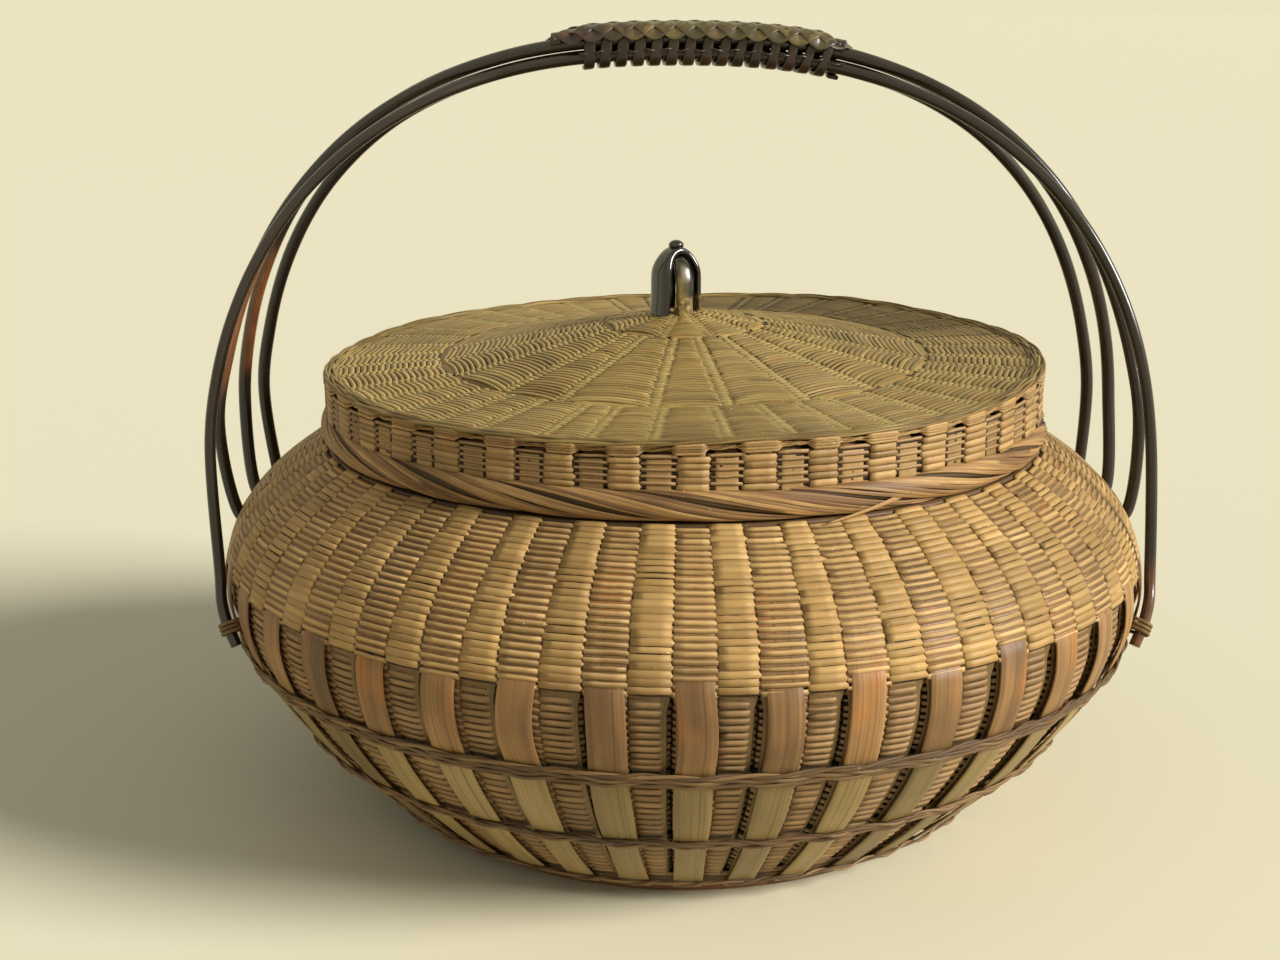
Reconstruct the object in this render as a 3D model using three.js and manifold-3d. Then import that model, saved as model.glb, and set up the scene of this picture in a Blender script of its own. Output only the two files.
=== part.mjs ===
// A lidded basket of split bamboo with a fixed overhead handle of four bent rods.
// Millimetres, +Z up. The origin is the centre of the foot, on the surface that it stands on.
// The front faces -Y, and the handle runs from the left side (-X) over the top to the right side.
import * as THREE from 'three';
import { mergeVertices } from 'three/addons/utils/BufferGeometryUtils.js';
import Module from 'manifold-3d';

const wasm = await Module();
wasm.setup();

// Clearances
const seatGap = 0.3; // between woven, laced or wound pieces that touch
const lidPlay = 1; // radial, between the lid's hoop and the collar

// Body outline: two power curves that meet at the belly
const bellyRadius = 150;
const bellyHeight = 78;
const footRadius = 92.3;
const mouthRadius = 117;
const shoulderHeight = 121.7;
const baseRoundness = 1.65;
const shoulderRoundness = 2.4;

// Stakes: flat splints that cross under the base and run up the outside of the lower wall
const stakeCount = 40;
const stakeWidth = 10.4;
const stakeThickness = 1;
const stakeTop = 85;

// Woven walls and the base
const weaveThickness = 2;
const shoulderThickness = 2.6;
const matThickness = 2.2;
const footHoopHeight = 3;
const footHoopWidth = 10;

// Twined bands, by the height of their middle
const bandThickness = 1.8;
const bandLine = 1.5; // height of one twined line
const bottomBand = { height: 8.8, lines: 1 };
const lowerBand = { height: 32.9, lines: 2 };
const upperBand = { height: 60.1, lines: 3 };

// Mouth: a ledge for the lid's border, and the neck that the lid goes over
const ledgeHeight = 2.3;
const collarHeight = 16.5;
const collarThickness = 2.2;
const collarRimHeight = 2.4;

// Lid
const lidInset = 0.4; // from the mouth to the lid's wall
const lidSideHeight = 23.5; // from the mouth to the lid's edge
const lidWallThickness = 2.3;
const lidHoopThickness = 2;
const lidSkin = 2;
const crownRise = 16.6; // from the lid's edge to its middle
const brimRise = 1.6; // from the lid's edge to the outer seam, where the cone begins
const centreRadius = 26;
const seamRadius = 79;
const seamWidth = 0.6;
const ridgeHeight = 0.8;
const edgeRollWidth = 4.5;
const edgeRollHeight = 3.6;

// Lid border: three strands twisted into one rope
const borderHeight = 9.1;
const borderWidth = 6;
const borderStrands = 3;
const borderTurns = 6;
const strandShare = 0.75; // of the half spacing that just touches

// Knob: two bent strips that cross under a small tie
const knobHeight = 19.5;
const knobReach = 6.2; // from the knob's middle to the middle of a leg
const knobOffset = -2;
const knobTail = 4; // of each leg, below the crown
const slotDepth = 1; // of the legs' slots, below the legs
const outerStrip = { width: 7, thickness: 3, turn: 35 };
const innerStrip = { width: 5, thickness: 2.4, turn: -65 };
const knobTieRadius = 3.4;
const knobTieHeight = 1.8;

// Handle: the outer pair of rods is the lower layer of the bundle, the inner pair the upper layer.
// The outer pair fans out early beside the grip, the inner pair late.
const rodRadius = 2.1;
const springHeight = 98.5; // where the arch ends and the legs begin
const bundleHeight = 244.3; // middle of the bundle at the top of the arch
const archPower = 2.43;
const archShift = -1.5; // of the bent rods, towards the left
const outerRod = { inset: 3.6, fan: 41.5, early: 2.2, late: 1, layer: -1 };
const innerRod = { inset: 1.5, fan: 23.5, early: 1, late: 1.8, layer: 1 };
const footAngle = 23; // of the outer rods' feet, off the handle's plane
const rodFootDrop = 3.6; // from the upper band to the outer rods' ends
const entryHeight = 96; // where the inner rods go into the shoulder's weave
const entryShare = 0.6; // of the fan that is left there
const tieRise = 5; // from the outer rods' ends to the middle of the ties
const tieWidth = 3.5;
const tieThickness = 1.2;

// Grip: one flat cane wound round the bundle, with a plait along the top
const gripLength = 94;
const gripShift = 4;
const wrapTurns = 17;
const wrapWidth = 4.4;
const wrapThickness = 1.6;
const braidWidth = 9;
const braidThickness = 2;

// Facets
const ringSides = stakeCount; // a woven ring bends at the stakes, with one flat under each strip
const rodSides = 6;
const rodSteps = 40;
const wrapSides = 6;
const wrapSteps = 14; // for each turn
const strandSides = 5;
const strandSteps = 54;

// Materials
const finish = (color, roughness) =>
  new THREE.MeshStandardMaterial({ color, roughness, metalness: 0 });
const wovenBamboo = finish('#94713c', 0.6);
const stripBamboo = finish('#8a5a32', 0.5);
const twinedCane = finish('#5f4127', 0.6);
const lidBamboo = finish('#978049', 0.55);
const darkRod = finish('#2c1d14', 0.35);
const gripCane = finish('#75613a', 0.6);
const knobLacquer = finish('#15100d', 0.2);

const degrees = Math.PI / 180;
const ringPhase = Math.PI / ringSides;

// Outline of the body, and a point off it along its outward normal

function wallRadius(z) {
  if (z < bellyHeight)
    return bellyRadius - (bellyRadius - footRadius) * (1 - z / bellyHeight) ** baseRoundness;
  const rise = (z - bellyHeight) / (shoulderHeight - bellyHeight);
  return bellyRadius - (bellyRadius - mouthRadius) * rise ** shoulderRoundness;
}

function wallSlope(z) {
  const step = 0.01;
  return (wallRadius(z + step) - wallRadius(z - step)) / (2 * step);
}

function wallPoint(z, offset) {
  const tilt = Math.atan(wallSlope(z));
  return new THREE.Vector2(wallRadius(z) + offset * Math.cos(tilt), z - offset * Math.sin(tilt));
}

const wallLine = (heights, offset) => heights.map(z => wallPoint(z, offset));

function evenly(low, high, steps) {
  const heights = [];
  for (let i = 0; i <= steps; i++) heights.push(low + ((high - low) * i) / steps);
  return heights;
}

// Closed profile turned round the Z axis, with its flats facing the stakes

function turned(profile, sides = ringSides) {
  const corner = 1 / Math.cos(Math.PI / sides);
  const points = profile.map(p => new THREE.Vector2(p.x * corner, p.y));
  if (profile[0].x > 0) points.push(points[0].clone());
  const geometry = new THREE.LatheGeometry(points, sides, Math.PI / sides);
  return geometry.rotateX(Math.PI / 2);
}

const profileOf = list => list.map(([r, z]) => new THREE.Vector2(r, z));
const hoop = (inner, outer, low, high) =>
  turned(profileOf([[inner, low], [outer, low], [outer, high], [inner, high]]));

// Rings of points joined into a tube, closed on itself or capped at both ends

function skin(rings, closed) {
  const sides = rings[0].length;
  const index = [];
  const links = closed ? rings.length : rings.length - 1;
  for (let i = 0; i < links; i++)
    for (let j = 0; j < sides; j++) {
      const a = i * sides + j;
      const b = i * sides + ((j + 1) % sides);
      const c = ((i + 1) % rings.length) * sides + j;
      const d = ((i + 1) % rings.length) * sides + ((j + 1) % sides);
      index.push(a, b, c, b, d, c);
    }
  if (!closed)
    for (let j = 1; j < sides - 1; j++) {
      const last = (rings.length - 1) * sides;
      index.push(0, j + 1, j, last, last + j, last + j + 1);
    }
  const geometry = new THREE.BufferGeometry().setFromPoints(rings.flat());
  geometry.setIndex(index);
  return geometry;
}

function roundShape(radius, sides) {
  const points = [];
  for (let i = 0; i < sides; i++) {
    const angle = (2 * Math.PI * i) / sides;
    points.push(new THREE.Vector2(radius * Math.cos(angle), radius * Math.sin(angle)));
  }
  return new THREE.Shape(points);
}

// Joins and cuts

function solidOf(geometry) {
  const bare = geometry.clone();
  bare.deleteAttribute('normal');
  bare.deleteAttribute('uv');
  const merged = mergeVertices(bare, 1e-3);
  return new wasm.Manifold(new wasm.Mesh({
    numProp: 3,
    vertProperties: merged.attributes.position.array,
    triVerts: new Uint32Array(merged.index.array),
  }));
}

function geometryOf(solid) {
  const { vertProperties, triVerts } = solid.getMesh();
  const geometry = new THREE.BufferGeometry();
  geometry.setAttribute('position', new THREE.BufferAttribute(vertProperties, 3));
  geometry.setIndex(new THREE.BufferAttribute(triVerts, 1));
  return geometry;
}

const group = new THREE.Group();

function add(name, geometry, material) {
  const mesh = new THREE.Mesh(geometry, material);
  mesh.name = name;
  group.add(mesh);
  return mesh;
}

// Foot, stakes and base

const stakeLevel = footHoopHeight + seatGap;
const starTop = stakeLevel + stakeThickness;
const matLevel = starTop + seatGap;
const recess = stakeThickness + seatGap; // of the weave behind the strips
const rimTilt = Math.atan(wallSlope(stakeLevel));
const weaveStart = matLevel - recess * Math.sin(rimTilt);

// Strips and weave bend at the same heights: at the bands, and halfway between them
const lowerMiddle = (stakeLevel + lowerBand.height) / 2;
const middleMiddle = (lowerBand.height + upperBand.height) / 2;
const bellyMiddle = (upperBand.height + stakeTop) / 2;
const bends = [lowerMiddle, lowerBand.height, middleMiddle, upperBand.height, bellyMiddle];

// The strips cross as one sheet inside the radius where they meet edge to edge
const crossingMargin = 3;
const crossingRadius = stakeWidth / 2 / Math.tan(ringPhase) + crossingMargin;

function stakeRings(angle) {
  const cornerHeight = starTop - stakeThickness * Math.sin(rimTilt);
  const under = [new THREE.Vector2(crossingRadius, stakeLevel),
    ...wallLine([stakeLevel, ...bends, stakeTop], 0)];
  const over = [new THREE.Vector2(crossingRadius, starTop),
    ...wallLine([cornerHeight, ...bends, stakeTop], -stakeThickness)];
  const up = new THREE.Vector3(0, 0, 1);
  const half = stakeWidth / 2;
  return under.map((low, i) => {
    const high = over[i];
    return [[low, -half], [low, half], [high, half], [high, -half]].map(([p, across]) =>
      new THREE.Vector3(p.x, across, p.y).applyAxisAngle(up, angle));
  });
}

// The crossing sheet is a fan of faces below and above, with an edge wall between two strips
function stakeStar() {
  const below = new THREE.Vector3(0, 0, stakeLevel);
  const above = new THREE.Vector3(0, 0, starTop);
  const faces = [];
  for (let i = 0; i < stakeCount; i++) {
    const rings = stakeRings(2 * ringPhase * i);
    const next = stakeRings(2 * ringPhase * (i + 1))[0];
    const [a, b, c, d] = rings[0];
    faces.push([below, b, a], [below, next[0], b], [above, d, c], [above, c, next[3]]);
    faces.push([b, next[0], next[3]], [b, next[3], c]);
    for (let k = 1; k < rings.length; k++)
      for (let j = 0; j < 4; j++) {
        const [p, q] = [rings[k - 1][j], rings[k - 1][(j + 1) % 4]];
        const [r, s] = [rings[k][j], rings[k][(j + 1) % 4]];
        faces.push([p, q, r], [q, s, r]);
      }
    const [e, f, g, h] = rings.at(-1);
    faces.push([e, f, g], [e, g, h]);
  }
  return new THREE.BufferGeometry().setFromPoints(faces.flat());
}

add('foot_hoop', hoop(footRadius - footHoopWidth, footRadius, 0, footHoopHeight), stripBamboo);
add('outer_stakes', stakeStar(), stripBamboo);

const matRadius = wallPoint(weaveStart, -recess - weaveThickness).x - seatGap;
const matTop = matLevel + matThickness;
add('base_mat', turned(profileOf([
  [0, matLevel], [matRadius, matLevel], [matRadius, matTop], [0, matTop],
])), wovenBamboo);

// Woven walls between the bands

function weave(low, middle, high) {
  return turned([
    ...wallLine([low, middle, high], -recess),
    ...wallLine([high, low], -recess - weaveThickness),
  ]);
}

const halfGap = seatGap / 2;
const lowerEdge = lowerBand.height - halfGap;
const middleLow = lowerBand.height + halfGap;
const middleHigh = upperBand.height - halfGap;
add('lower_weave', weave(weaveStart, lowerMiddle, lowerEdge), wovenBamboo);
add('middle_weave', weave(middleLow, middleMiddle, middleHigh), wovenBamboo);
add('belly_weave', weave(upperBand.height + halfGap, bellyMiddle, stakeTop), wovenBamboo);

function shoulder() {
  const low = stakeTop + seatGap;
  return turned([
    ...wallLine(evenly(low, shoulderHeight, 6), 0),
    ...wallLine(evenly(shoulderHeight, low, 3), -shoulderThickness),
  ]);
}

add('shoulder_weave', shoulder(), wovenBamboo);

// A twined band outside the strips, one bead for each line

function twinedBand({ height, lines }) {
  const low = height - (lines * bandLine) / 2;
  const profile = [];
  for (let i = 0; i <= 2 * lines; i++) {
    const bead = i % 2 ? bandThickness : bandThickness / 2;
    profile.push(wallPoint(low + (i * bandLine) / 2, seatGap + bead));
  }
  profile.push(wallPoint(low + lines * bandLine, seatGap), wallPoint(low, seatGap));
  return turned(profile);
}

add('twined_band_bottom', twinedBand(bottomBand), twinedCane);
add('twined_band_lower', twinedBand(lowerBand), twinedCane);
add('twined_band_upper', twinedBand(upperBand), twinedCane);

// Mouth: the ledge's outer face follows the end of the shoulder

const lidRadius = mouthRadius - lidInset;
const lidHoopOuter = lidRadius - lidWallThickness - seatGap;
const lidHoopInner = lidHoopOuter - lidHoopThickness;
const collarRadius = lidHoopInner - lidPlay;
const collarInner = collarRadius - collarThickness;
const collarLevel = shoulderHeight + seatGap;
const collarTop = collarLevel + collarHeight;

function ledge() {
  const top = wallPoint(shoulderHeight, 0);
  const bottom = wallPoint(shoulderHeight, -shoulderThickness);
  const lean = (top.x - bottom.x) / (top.y - bottom.y);
  const low = shoulderHeight - ledgeHeight;
  const edge = mouthRadius - seatGap * Math.hypot(1, lean);
  return turned(profileOf([
    [collarInner, low], [edge - lean * ledgeHeight, low],
    [edge, shoulderHeight], [collarInner, shoulderHeight],
  ]));
}

add('mouth_hoop', ledge(), stripBamboo);
add('mouth_collar', hoop(collarInner, collarRadius, collarLevel, collarTop), wovenBamboo);

function collarRim() {
  const low = collarTop + seatGap;
  const high = low + collarRimHeight;
  return turned(profileOf([
    [collarInner, low], [collarRadius, low],
    [collarRadius - collarThickness / 4, high], [collarInner + collarThickness / 4, high],
  ]));
}

add('collar_rim', collarRim(), twinedCane);

// Rods: each is a smooth line through points of an arch and of its two legs

const rodFoot = upperBand.height + (upperBand.lines * bandLine) / 2 + rodFootDrop;
const bundleStep = rodRadius + seatGap / 2; // from the bundle's middle to a rod's middle
const gripEnd = gripLength / 2 + gripShift - archShift + wrapWidth;

// The radius at which a rod lies against the wall, on the corner between two flats
const hugRadius = z => wallRadius(z) / Math.cos(ringPhase) + rodRadius + seatGap;

// The arch is a quarter of a superellipse, and the rod fans out from the grip's end
function archOf({ inset, fan, early, late, layer }) {
  const reach = bellyRadius - inset;
  const rise = bundleHeight + layer * bundleStep - springHeight;
  const end = Math.PI / 2;
  const fanStart = Math.asin((gripEnd / reach) ** (archPower / 2));
  const angles = [...evenly(0, fanStart, 3), ...evenly(fanStart, end, 9).slice(1, -1)];
  return angles.map(angle => {
    const past = Math.max(0, (angle - fanStart) / (end - fanStart));
    const fanShare = 1 - (1 - past ** late) ** early;
    return new THREE.Vector3(
      reach * Math.sin(angle) ** (2 / archPower),
      bundleStep + (fan - bundleStep) * fanShare,
      springHeight + rise * Math.cos(angle) ** (2 / archPower),
    );
  });
}

const legPoint = (z, r, y) => new THREE.Vector3(Math.sqrt(r ** 2 - y ** 2), y, z);

// An outer rod's leg lies along the wall, down to the upper band
function outerLeg() {
  const footY = hugRadius(rodFoot) * Math.sin(footAngle * degrees);
  return evenly(0, 1, 3).map(share => {
    const z = THREE.MathUtils.lerp(stakeTop, rodFoot, share);
    const y = THREE.MathUtils.lerp(outerRod.fan, footY, (1 + share) / 2);
    return legPoint(z, hugRadius(z), y);
  });
}

// An inner rod's leg goes in through the shoulder
function innerLeg() {
  const y = innerRod.fan * entryShare;
  const depth = shoulderThickness + rodRadius;
  return [legPoint(entryHeight, wallRadius(entryHeight), y),
    legPoint(entryHeight - depth, wallRadius(entryHeight) - 2 * depth, y)];
}

// A smooth line through the points, which never comes closer to the other side than in the bundle
class RodPath extends THREE.CatmullRomCurve3 {
  constructor(rod, leg, side) {
    const arch = archOf(rod);
    const moved = (points, across, shift) =>
      points.map(p => new THREE.Vector3(across * p.x + shift, side * p.y, p.z));
    const left = [...moved(arch.slice(1), -1, archShift), ...moved(leg, -1, 0)];
    super([...left.reverse(), ...moved(arch, 1, archShift), ...moved(leg, 1, 0)]);
    this.side = side;
  }

  getPoint(t, target) {
    const point = super.getPoint(t, target);
    point.y = this.side * Math.max(this.side * point.y, bundleStep);
    return point;
  }
}

function rodAlong(path) {
  const shape = roundShape(rodRadius, rodSides);
  return new THREE.ExtrudeGeometry(shape, { steps: rodSteps, extrudePath: path });
}

// Everything inside the shoulder's outer face, with a clearance: an inner rod ends on it
function shoulderPlug() {
  const low = stakeTop + seatGap;
  const outside = wallLine(evenly(low, shoulderHeight, 6), seatGap);
  const [bottom, top] = [outside[0].y, outside.at(-1).y];
  return solidOf(turned([new THREE.Vector2(0, bottom), ...outside, new THREE.Vector2(0, top)]));
}

const outerPaths = { front: new RodPath(outerRod, outerLeg(), -1),
  back: new RodPath(outerRod, outerLeg(), 1) };
const innerPaths = { front: new RodPath(innerRod, innerLeg(), -1),
  back: new RodPath(innerRod, innerLeg(), 1) };

for (const [name, path] of Object.entries(outerPaths))
  add(`handle_rod_${name}_outer`, rodAlong(path), darkRod);
for (const [name, path] of Object.entries(innerPaths)) {
  const rod = solidOf(rodAlong(path)).subtract(shoulderPlug());
  add(`handle_rod_${name}_inner`, geometryOf(rod), darkRod);
}

// The place along a path where one of its legs, at either end of it, crosses a height
function crossing(path, height, right) {
  const legShare = 0.25;
  let low = right ? 1 - legShare : 0;
  let high = right ? 1 : legShare;
  for (let i = 0; i < 30; i++) {
    const middle = (low + high) / 2;
    if ((path.getPointAt(middle).z > height) === right) low = middle;
    else high = middle;
  }
  return low;
}

// A lashing: an arch of cane over the rod, with its legs on the weave beside it

function rodTie(path, right) {
  const place = crossing(path, rodFoot + tieRise, right);
  const at = path.getPointAt(place);
  const down = path.getTangentAt(place);
  const out = new THREE.Vector3(at.x, at.y, 0).normalize();
  const side = new THREE.Vector3().crossVectors(out, down).normalize();
  out.crossVectors(down, side).normalize();

  const inner = rodRadius + seatGap;
  const outer = inner + tieThickness;
  const leg = rodRadius + stakeThickness;
  const arch = new THREE.Shape();
  arch.moveTo(-outer, -leg);
  arch.lineTo(-inner, -leg);
  arch.lineTo(-inner, 0);
  arch.absarc(0, 0, inner, Math.PI, 0, true);
  arch.lineTo(inner, -leg);
  arch.lineTo(outer, -leg);
  arch.lineTo(outer, 0);
  arch.absarc(0, 0, outer, 0, Math.PI, false);
  const tie = new THREE.ExtrudeGeometry(arch, {
    depth: tieWidth, bevelEnabled: false, curveSegments: 4,
  });
  tie.translate(0, 0, -tieWidth / 2);
  tie.applyMatrix4(new THREE.Matrix4().makeBasis(side, out, down).setPosition(at));
  return tie;
}

for (const [name, path] of Object.entries(outerPaths)) {
  add(`rod_tie_left_${name}`, rodTie(path, false), gripCane);
  add(`rod_tie_right_${name}`, rodTie(path, true), gripCane);
}

// Grip: the bundle's middle line, its upward normal and the turns of cane round it

const bundleReach = bellyRadius - (outerRod.inset + innerRod.inset) / 2;

function bundleFrame(x) {
  const rise = bundleHeight - springHeight;
  const height = at => springHeight
    + rise * (1 - (Math.abs(at - archShift) / bundleReach) ** archPower) ** (1 / archPower);
  const step = 0.01;
  const along = new THREE.Vector3(2 * step, 0, height(x + step) - height(x - step)).normalize();
  return {
    at: new THREE.Vector3(x, 0, height(x)),
    along,
    up: new THREE.Vector3(-along.z, 0, along.x),
    side: new THREE.Vector3(0, 1, 0),
  };
}

// The bundle of four rods is square, so the cane stands further out at its corners
function wrapInside(angle) {
  const flat = bundleStep + rodRadius;
  const corner = bundleStep * Math.SQRT2 + rodRadius;
  return flat + seatGap + (corner - flat) * Math.sin(2 * angle) ** 2;
}

function wrapCentre(share) {
  const frame = bundleFrame(gripShift + (share - 0.5) * gripLength);
  const angle = 2 * Math.PI * wrapTurns * share + Math.PI;
  const out = frame.up.clone().multiplyScalar(Math.cos(angle))
    .addScaledVector(frame.side, Math.sin(angle));
  const centre = frame.at.clone()
    .addScaledVector(out, wrapInside(angle) + wrapThickness / 2);
  return { centre, out, along: frame.along };
}

function caneRing(centre, out, along) {
  const ring = [];
  for (let j = 0; j < wrapSides; j++) {
    const angle = (-2 * Math.PI * j) / wrapSides;
    ring.push(centre.clone()
      .addScaledVector(along, (wrapWidth / 2) * Math.cos(angle))
      .addScaledVector(out, (wrapThickness / 2) * Math.sin(angle)));
  }
  return ring;
}

// The straight end beyond the first or last turn, one cane's width long
function caneEnd(share, inward) {
  const here = wrapCentre(share);
  const before = wrapCentre(inward);
  const ahead = here.centre.clone().sub(before.centre).setLength(wrapWidth);
  return caneRing(here.centre.clone().add(ahead), here.out, here.along);
}

function gripWrap() {
  const steps = wrapTurns * wrapSteps;
  const rings = [];
  for (let i = 0; i <= steps; i++) {
    const { centre, out, along } = wrapCentre(i / steps);
    rings.push(caneRing(centre, out, along));
  }
  const nudge = 0.1 / steps;
  rings.unshift(caneEnd(0, nudge));
  rings.push(caneEnd(1, 1 - nudge));

  let least = Infinity;
  for (let i = 0; i < rings.length; i++)
    for (let k = i + wrapSteps - 4; k < rings.length; k++)
      for (const a of rings[i])
        for (const b of rings[k]) least = Math.min(least, a.distanceTo(b));
  console.log(`grip wrap: ${wrapTurns} turns, least gap between turns ${least.toFixed(2)} mm`);
  return skin(rings, false);
}

add('grip_wrap', gripWrap(), gripCane);

function gripBraid() {
  const steps = 16;
  const low = wrapInside(0) + wrapThickness + seatGap;
  const high = low + braidThickness;
  const section = [
    [-0.5, low], [0.5, low], [0.5, (low + high) / 2], [0.3, high], [-0.3, high],
    [-0.5, (low + high) / 2],
  ];
  const rings = [];
  for (let i = 0; i <= steps; i++) {
    const frame = bundleFrame(gripShift + (i / steps - 0.5) * gripLength);
    rings.push(section.map(([across, up]) => frame.at.clone()
      .addScaledVector(frame.side, across * braidWidth)
      .addScaledVector(frame.up, up)));
  }
  return skin(rings, false);
}

add('grip_braid', gripBraid(), gripCane);

// Lid: three crown zones, an edge roll, a wall with a hoop inside, and a twisted border

const rimHeight = shoulderHeight + lidSideHeight;
const borderLow = shoulderHeight + seatGap;
const wallLow = borderLow + borderHeight + seatGap;
const wallHigh = rimHeight - edgeRollHeight - seatGap;

// A cone inside the outer seam, and a nearly flat brim outside it
function crownHeight(r) {
  if (r > seamRadius)
    return THREE.MathUtils.mapLinear(r, seamRadius, lidRadius, rimHeight + brimRise, rimHeight);
  return THREE.MathUtils.mapLinear(r, 0, seamRadius, rimHeight + crownRise, rimHeight + brimRise);
}

function crownZone(inner, outer, steps, sides) {
  const top = [];
  for (let i = 0; i <= steps; i++) {
    const r = inner + ((outer - inner) * i) / steps;
    top.push(new THREE.Vector2(r, crownHeight(r)));
  }
  const under = top.map(p => new THREE.Vector2(p.x, p.y - lidSkin)).reverse();
  return turned([...under.reverse(), ...top.reverse()], sides);
}

// Raises every second corner of a crown zone: the spokes show as low ridges
function ridged(geometry, sides) {
  const position = geometry.attributes.position;
  const perSide = position.count / (sides + 1);
  for (let i = 0; i < position.count; i++)
    if (Math.floor(i / perSide) % 2 === 0) position.setZ(i, position.getZ(i) + ridgeHeight);
  return geometry;
}

const centreSides = stakeCount / 2;
const innerZoneSides = stakeCount;
const outerZoneSides = 2 * stakeCount;
const rollInner = lidRadius + lidInset - edgeRollWidth;

// Strip bent into an upside-down U, from below the crown over the knob's top
function knobStrip({ width, thickness, turn }, low, drop, extra) {
  const halfWidth = width / 2 + extra;
  const inner = knobReach - thickness / 2 - extra;
  const outer = knobReach + thickness / 2 + extra;
  const top = crownHeight(0) + knobHeight - drop + extra;
  const spring = top - outer;
  const arch = new THREE.Shape();
  arch.moveTo(-outer, low);
  arch.lineTo(-inner, low);
  arch.lineTo(-inner, spring);
  arch.absellipse(0, spring, inner, outer - thickness - 2 * extra, Math.PI, 0, true);
  arch.lineTo(inner, low);
  arch.lineTo(outer, low);
  arch.lineTo(outer, spring);
  arch.absellipse(0, spring, outer, outer, 0, Math.PI, false);
  const strip = new THREE.ExtrudeGeometry(arch, {
    depth: 2 * halfWidth, bevelEnabled: false, curveSegments: 6,
  });
  strip.translate(0, 0, -halfWidth).rotateX(Math.PI / 2).rotateZ(turn * degrees);
  return strip.translate(knobOffset, 0, 0);
}

const tailLevel = crownHeight(0) - lidSkin - knobTail;
const slotLevel = tailLevel - slotDepth;
const insideRadius = knobReach - outerStrip.thickness / 2;
const sagitta = insideRadius - Math.sqrt(insideRadius ** 2 - (innerStrip.width / 2) ** 2);
const innerDrop = outerStrip.thickness + sagitta + seatGap; // the inner strip's edges stay clear

function lidCentre() {
  const disc = solidOf(crownZone(0, centreRadius, 2, centreSides));
  return geometryOf(disc
    .subtract(solidOf(knobStrip(outerStrip, slotLevel, 0, seatGap)))
    .subtract(solidOf(knobStrip(innerStrip, slotLevel, innerDrop, seatGap))));
}

add('lid_centre', lidCentre(), lidBamboo);
add('lid_inner_ring', ridged(crownZone(centreRadius + seamWidth, seamRadius, 2, innerZoneSides),
  innerZoneSides), lidBamboo);
add('lid_outer_ring', ridged(crownZone(seamRadius + seamWidth, rollInner - seatGap, 1,
  outerZoneSides), outerZoneSides), lidBamboo);

function edgeRoll() {
  const low = rimHeight - edgeRollHeight;
  const outer = rollInner + edgeRollWidth;
  const bead = edgeRollHeight / 3;
  return turned(profileOf([
    [rollInner, low], [outer - bead, low], [outer, low + bead], [outer, low + 2 * bead],
    [outer - bead, rimHeight], [rollInner, rimHeight],
  ]));
}

add('lid_edge_roll', edgeRoll(), lidBamboo);
add('lid_wall', hoop(lidRadius - lidWallThickness, lidRadius, wallLow, wallHigh), lidBamboo);
add('lid_hoop', hoop(lidHoopInner, lidHoopOuter, wallLow, wallHigh), stripBamboo);

// One strand of the border: its middle circles the rope's middle while that goes round the lid

function borderStrand(number) {
  const touching = Math.sin(Math.PI / borderStrands); // half spacing of strands on a unit circle
  const size = strandShare * touching;
  const orbit = 1 / (1 + size);
  const ringRadius = lidHoopInner + borderWidth / 2;
  const ringHeight = borderLow + borderHeight / 2;
  const rings = [];
  for (let i = 0; i < strandSteps; i++) {
    const around = (2 * Math.PI * i) / strandSteps;
    const twist = borderTurns * around + (2 * Math.PI * number) / borderStrands;
    const ring = [];
    for (let j = 0; j < strandSides; j++) {
      const angle = (-2 * Math.PI * j) / strandSides;
      const across = (orbit * (Math.cos(twist) + size * Math.cos(angle)) * borderWidth) / 2;
      const up = (orbit * (Math.sin(twist) + size * Math.sin(angle)) * borderHeight) / 2;
      const r = ringRadius + across;
      ring.push(new THREE.Vector3(r * Math.sin(around), -r * Math.cos(around), ringHeight + up));
    }
    rings.push(ring);
  }
  return skin(rings, true);
}

for (let i = 0; i < borderStrands; i++)
  add(`lid_border_strand_${i + 1}`, borderStrand(i), lidBamboo);

add('knob_outer_strip', knobStrip(outerStrip, tailLevel, 0, 0), knobLacquer);
add('knob_inner_strip', knobStrip(innerStrip, tailLevel, innerDrop, 0), knobLacquer);
const knobTie = new THREE.CylinderGeometry(knobTieRadius / 2, knobTieRadius, knobTieHeight, 10);
add('knob_tie', knobTie.rotateX(Math.PI / 2), knobLacquer)
  .position.set(knobOffset, 0, crownHeight(0) + knobHeight + seatGap + knobTieHeight / 2);

export default group;
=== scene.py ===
import math

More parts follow.
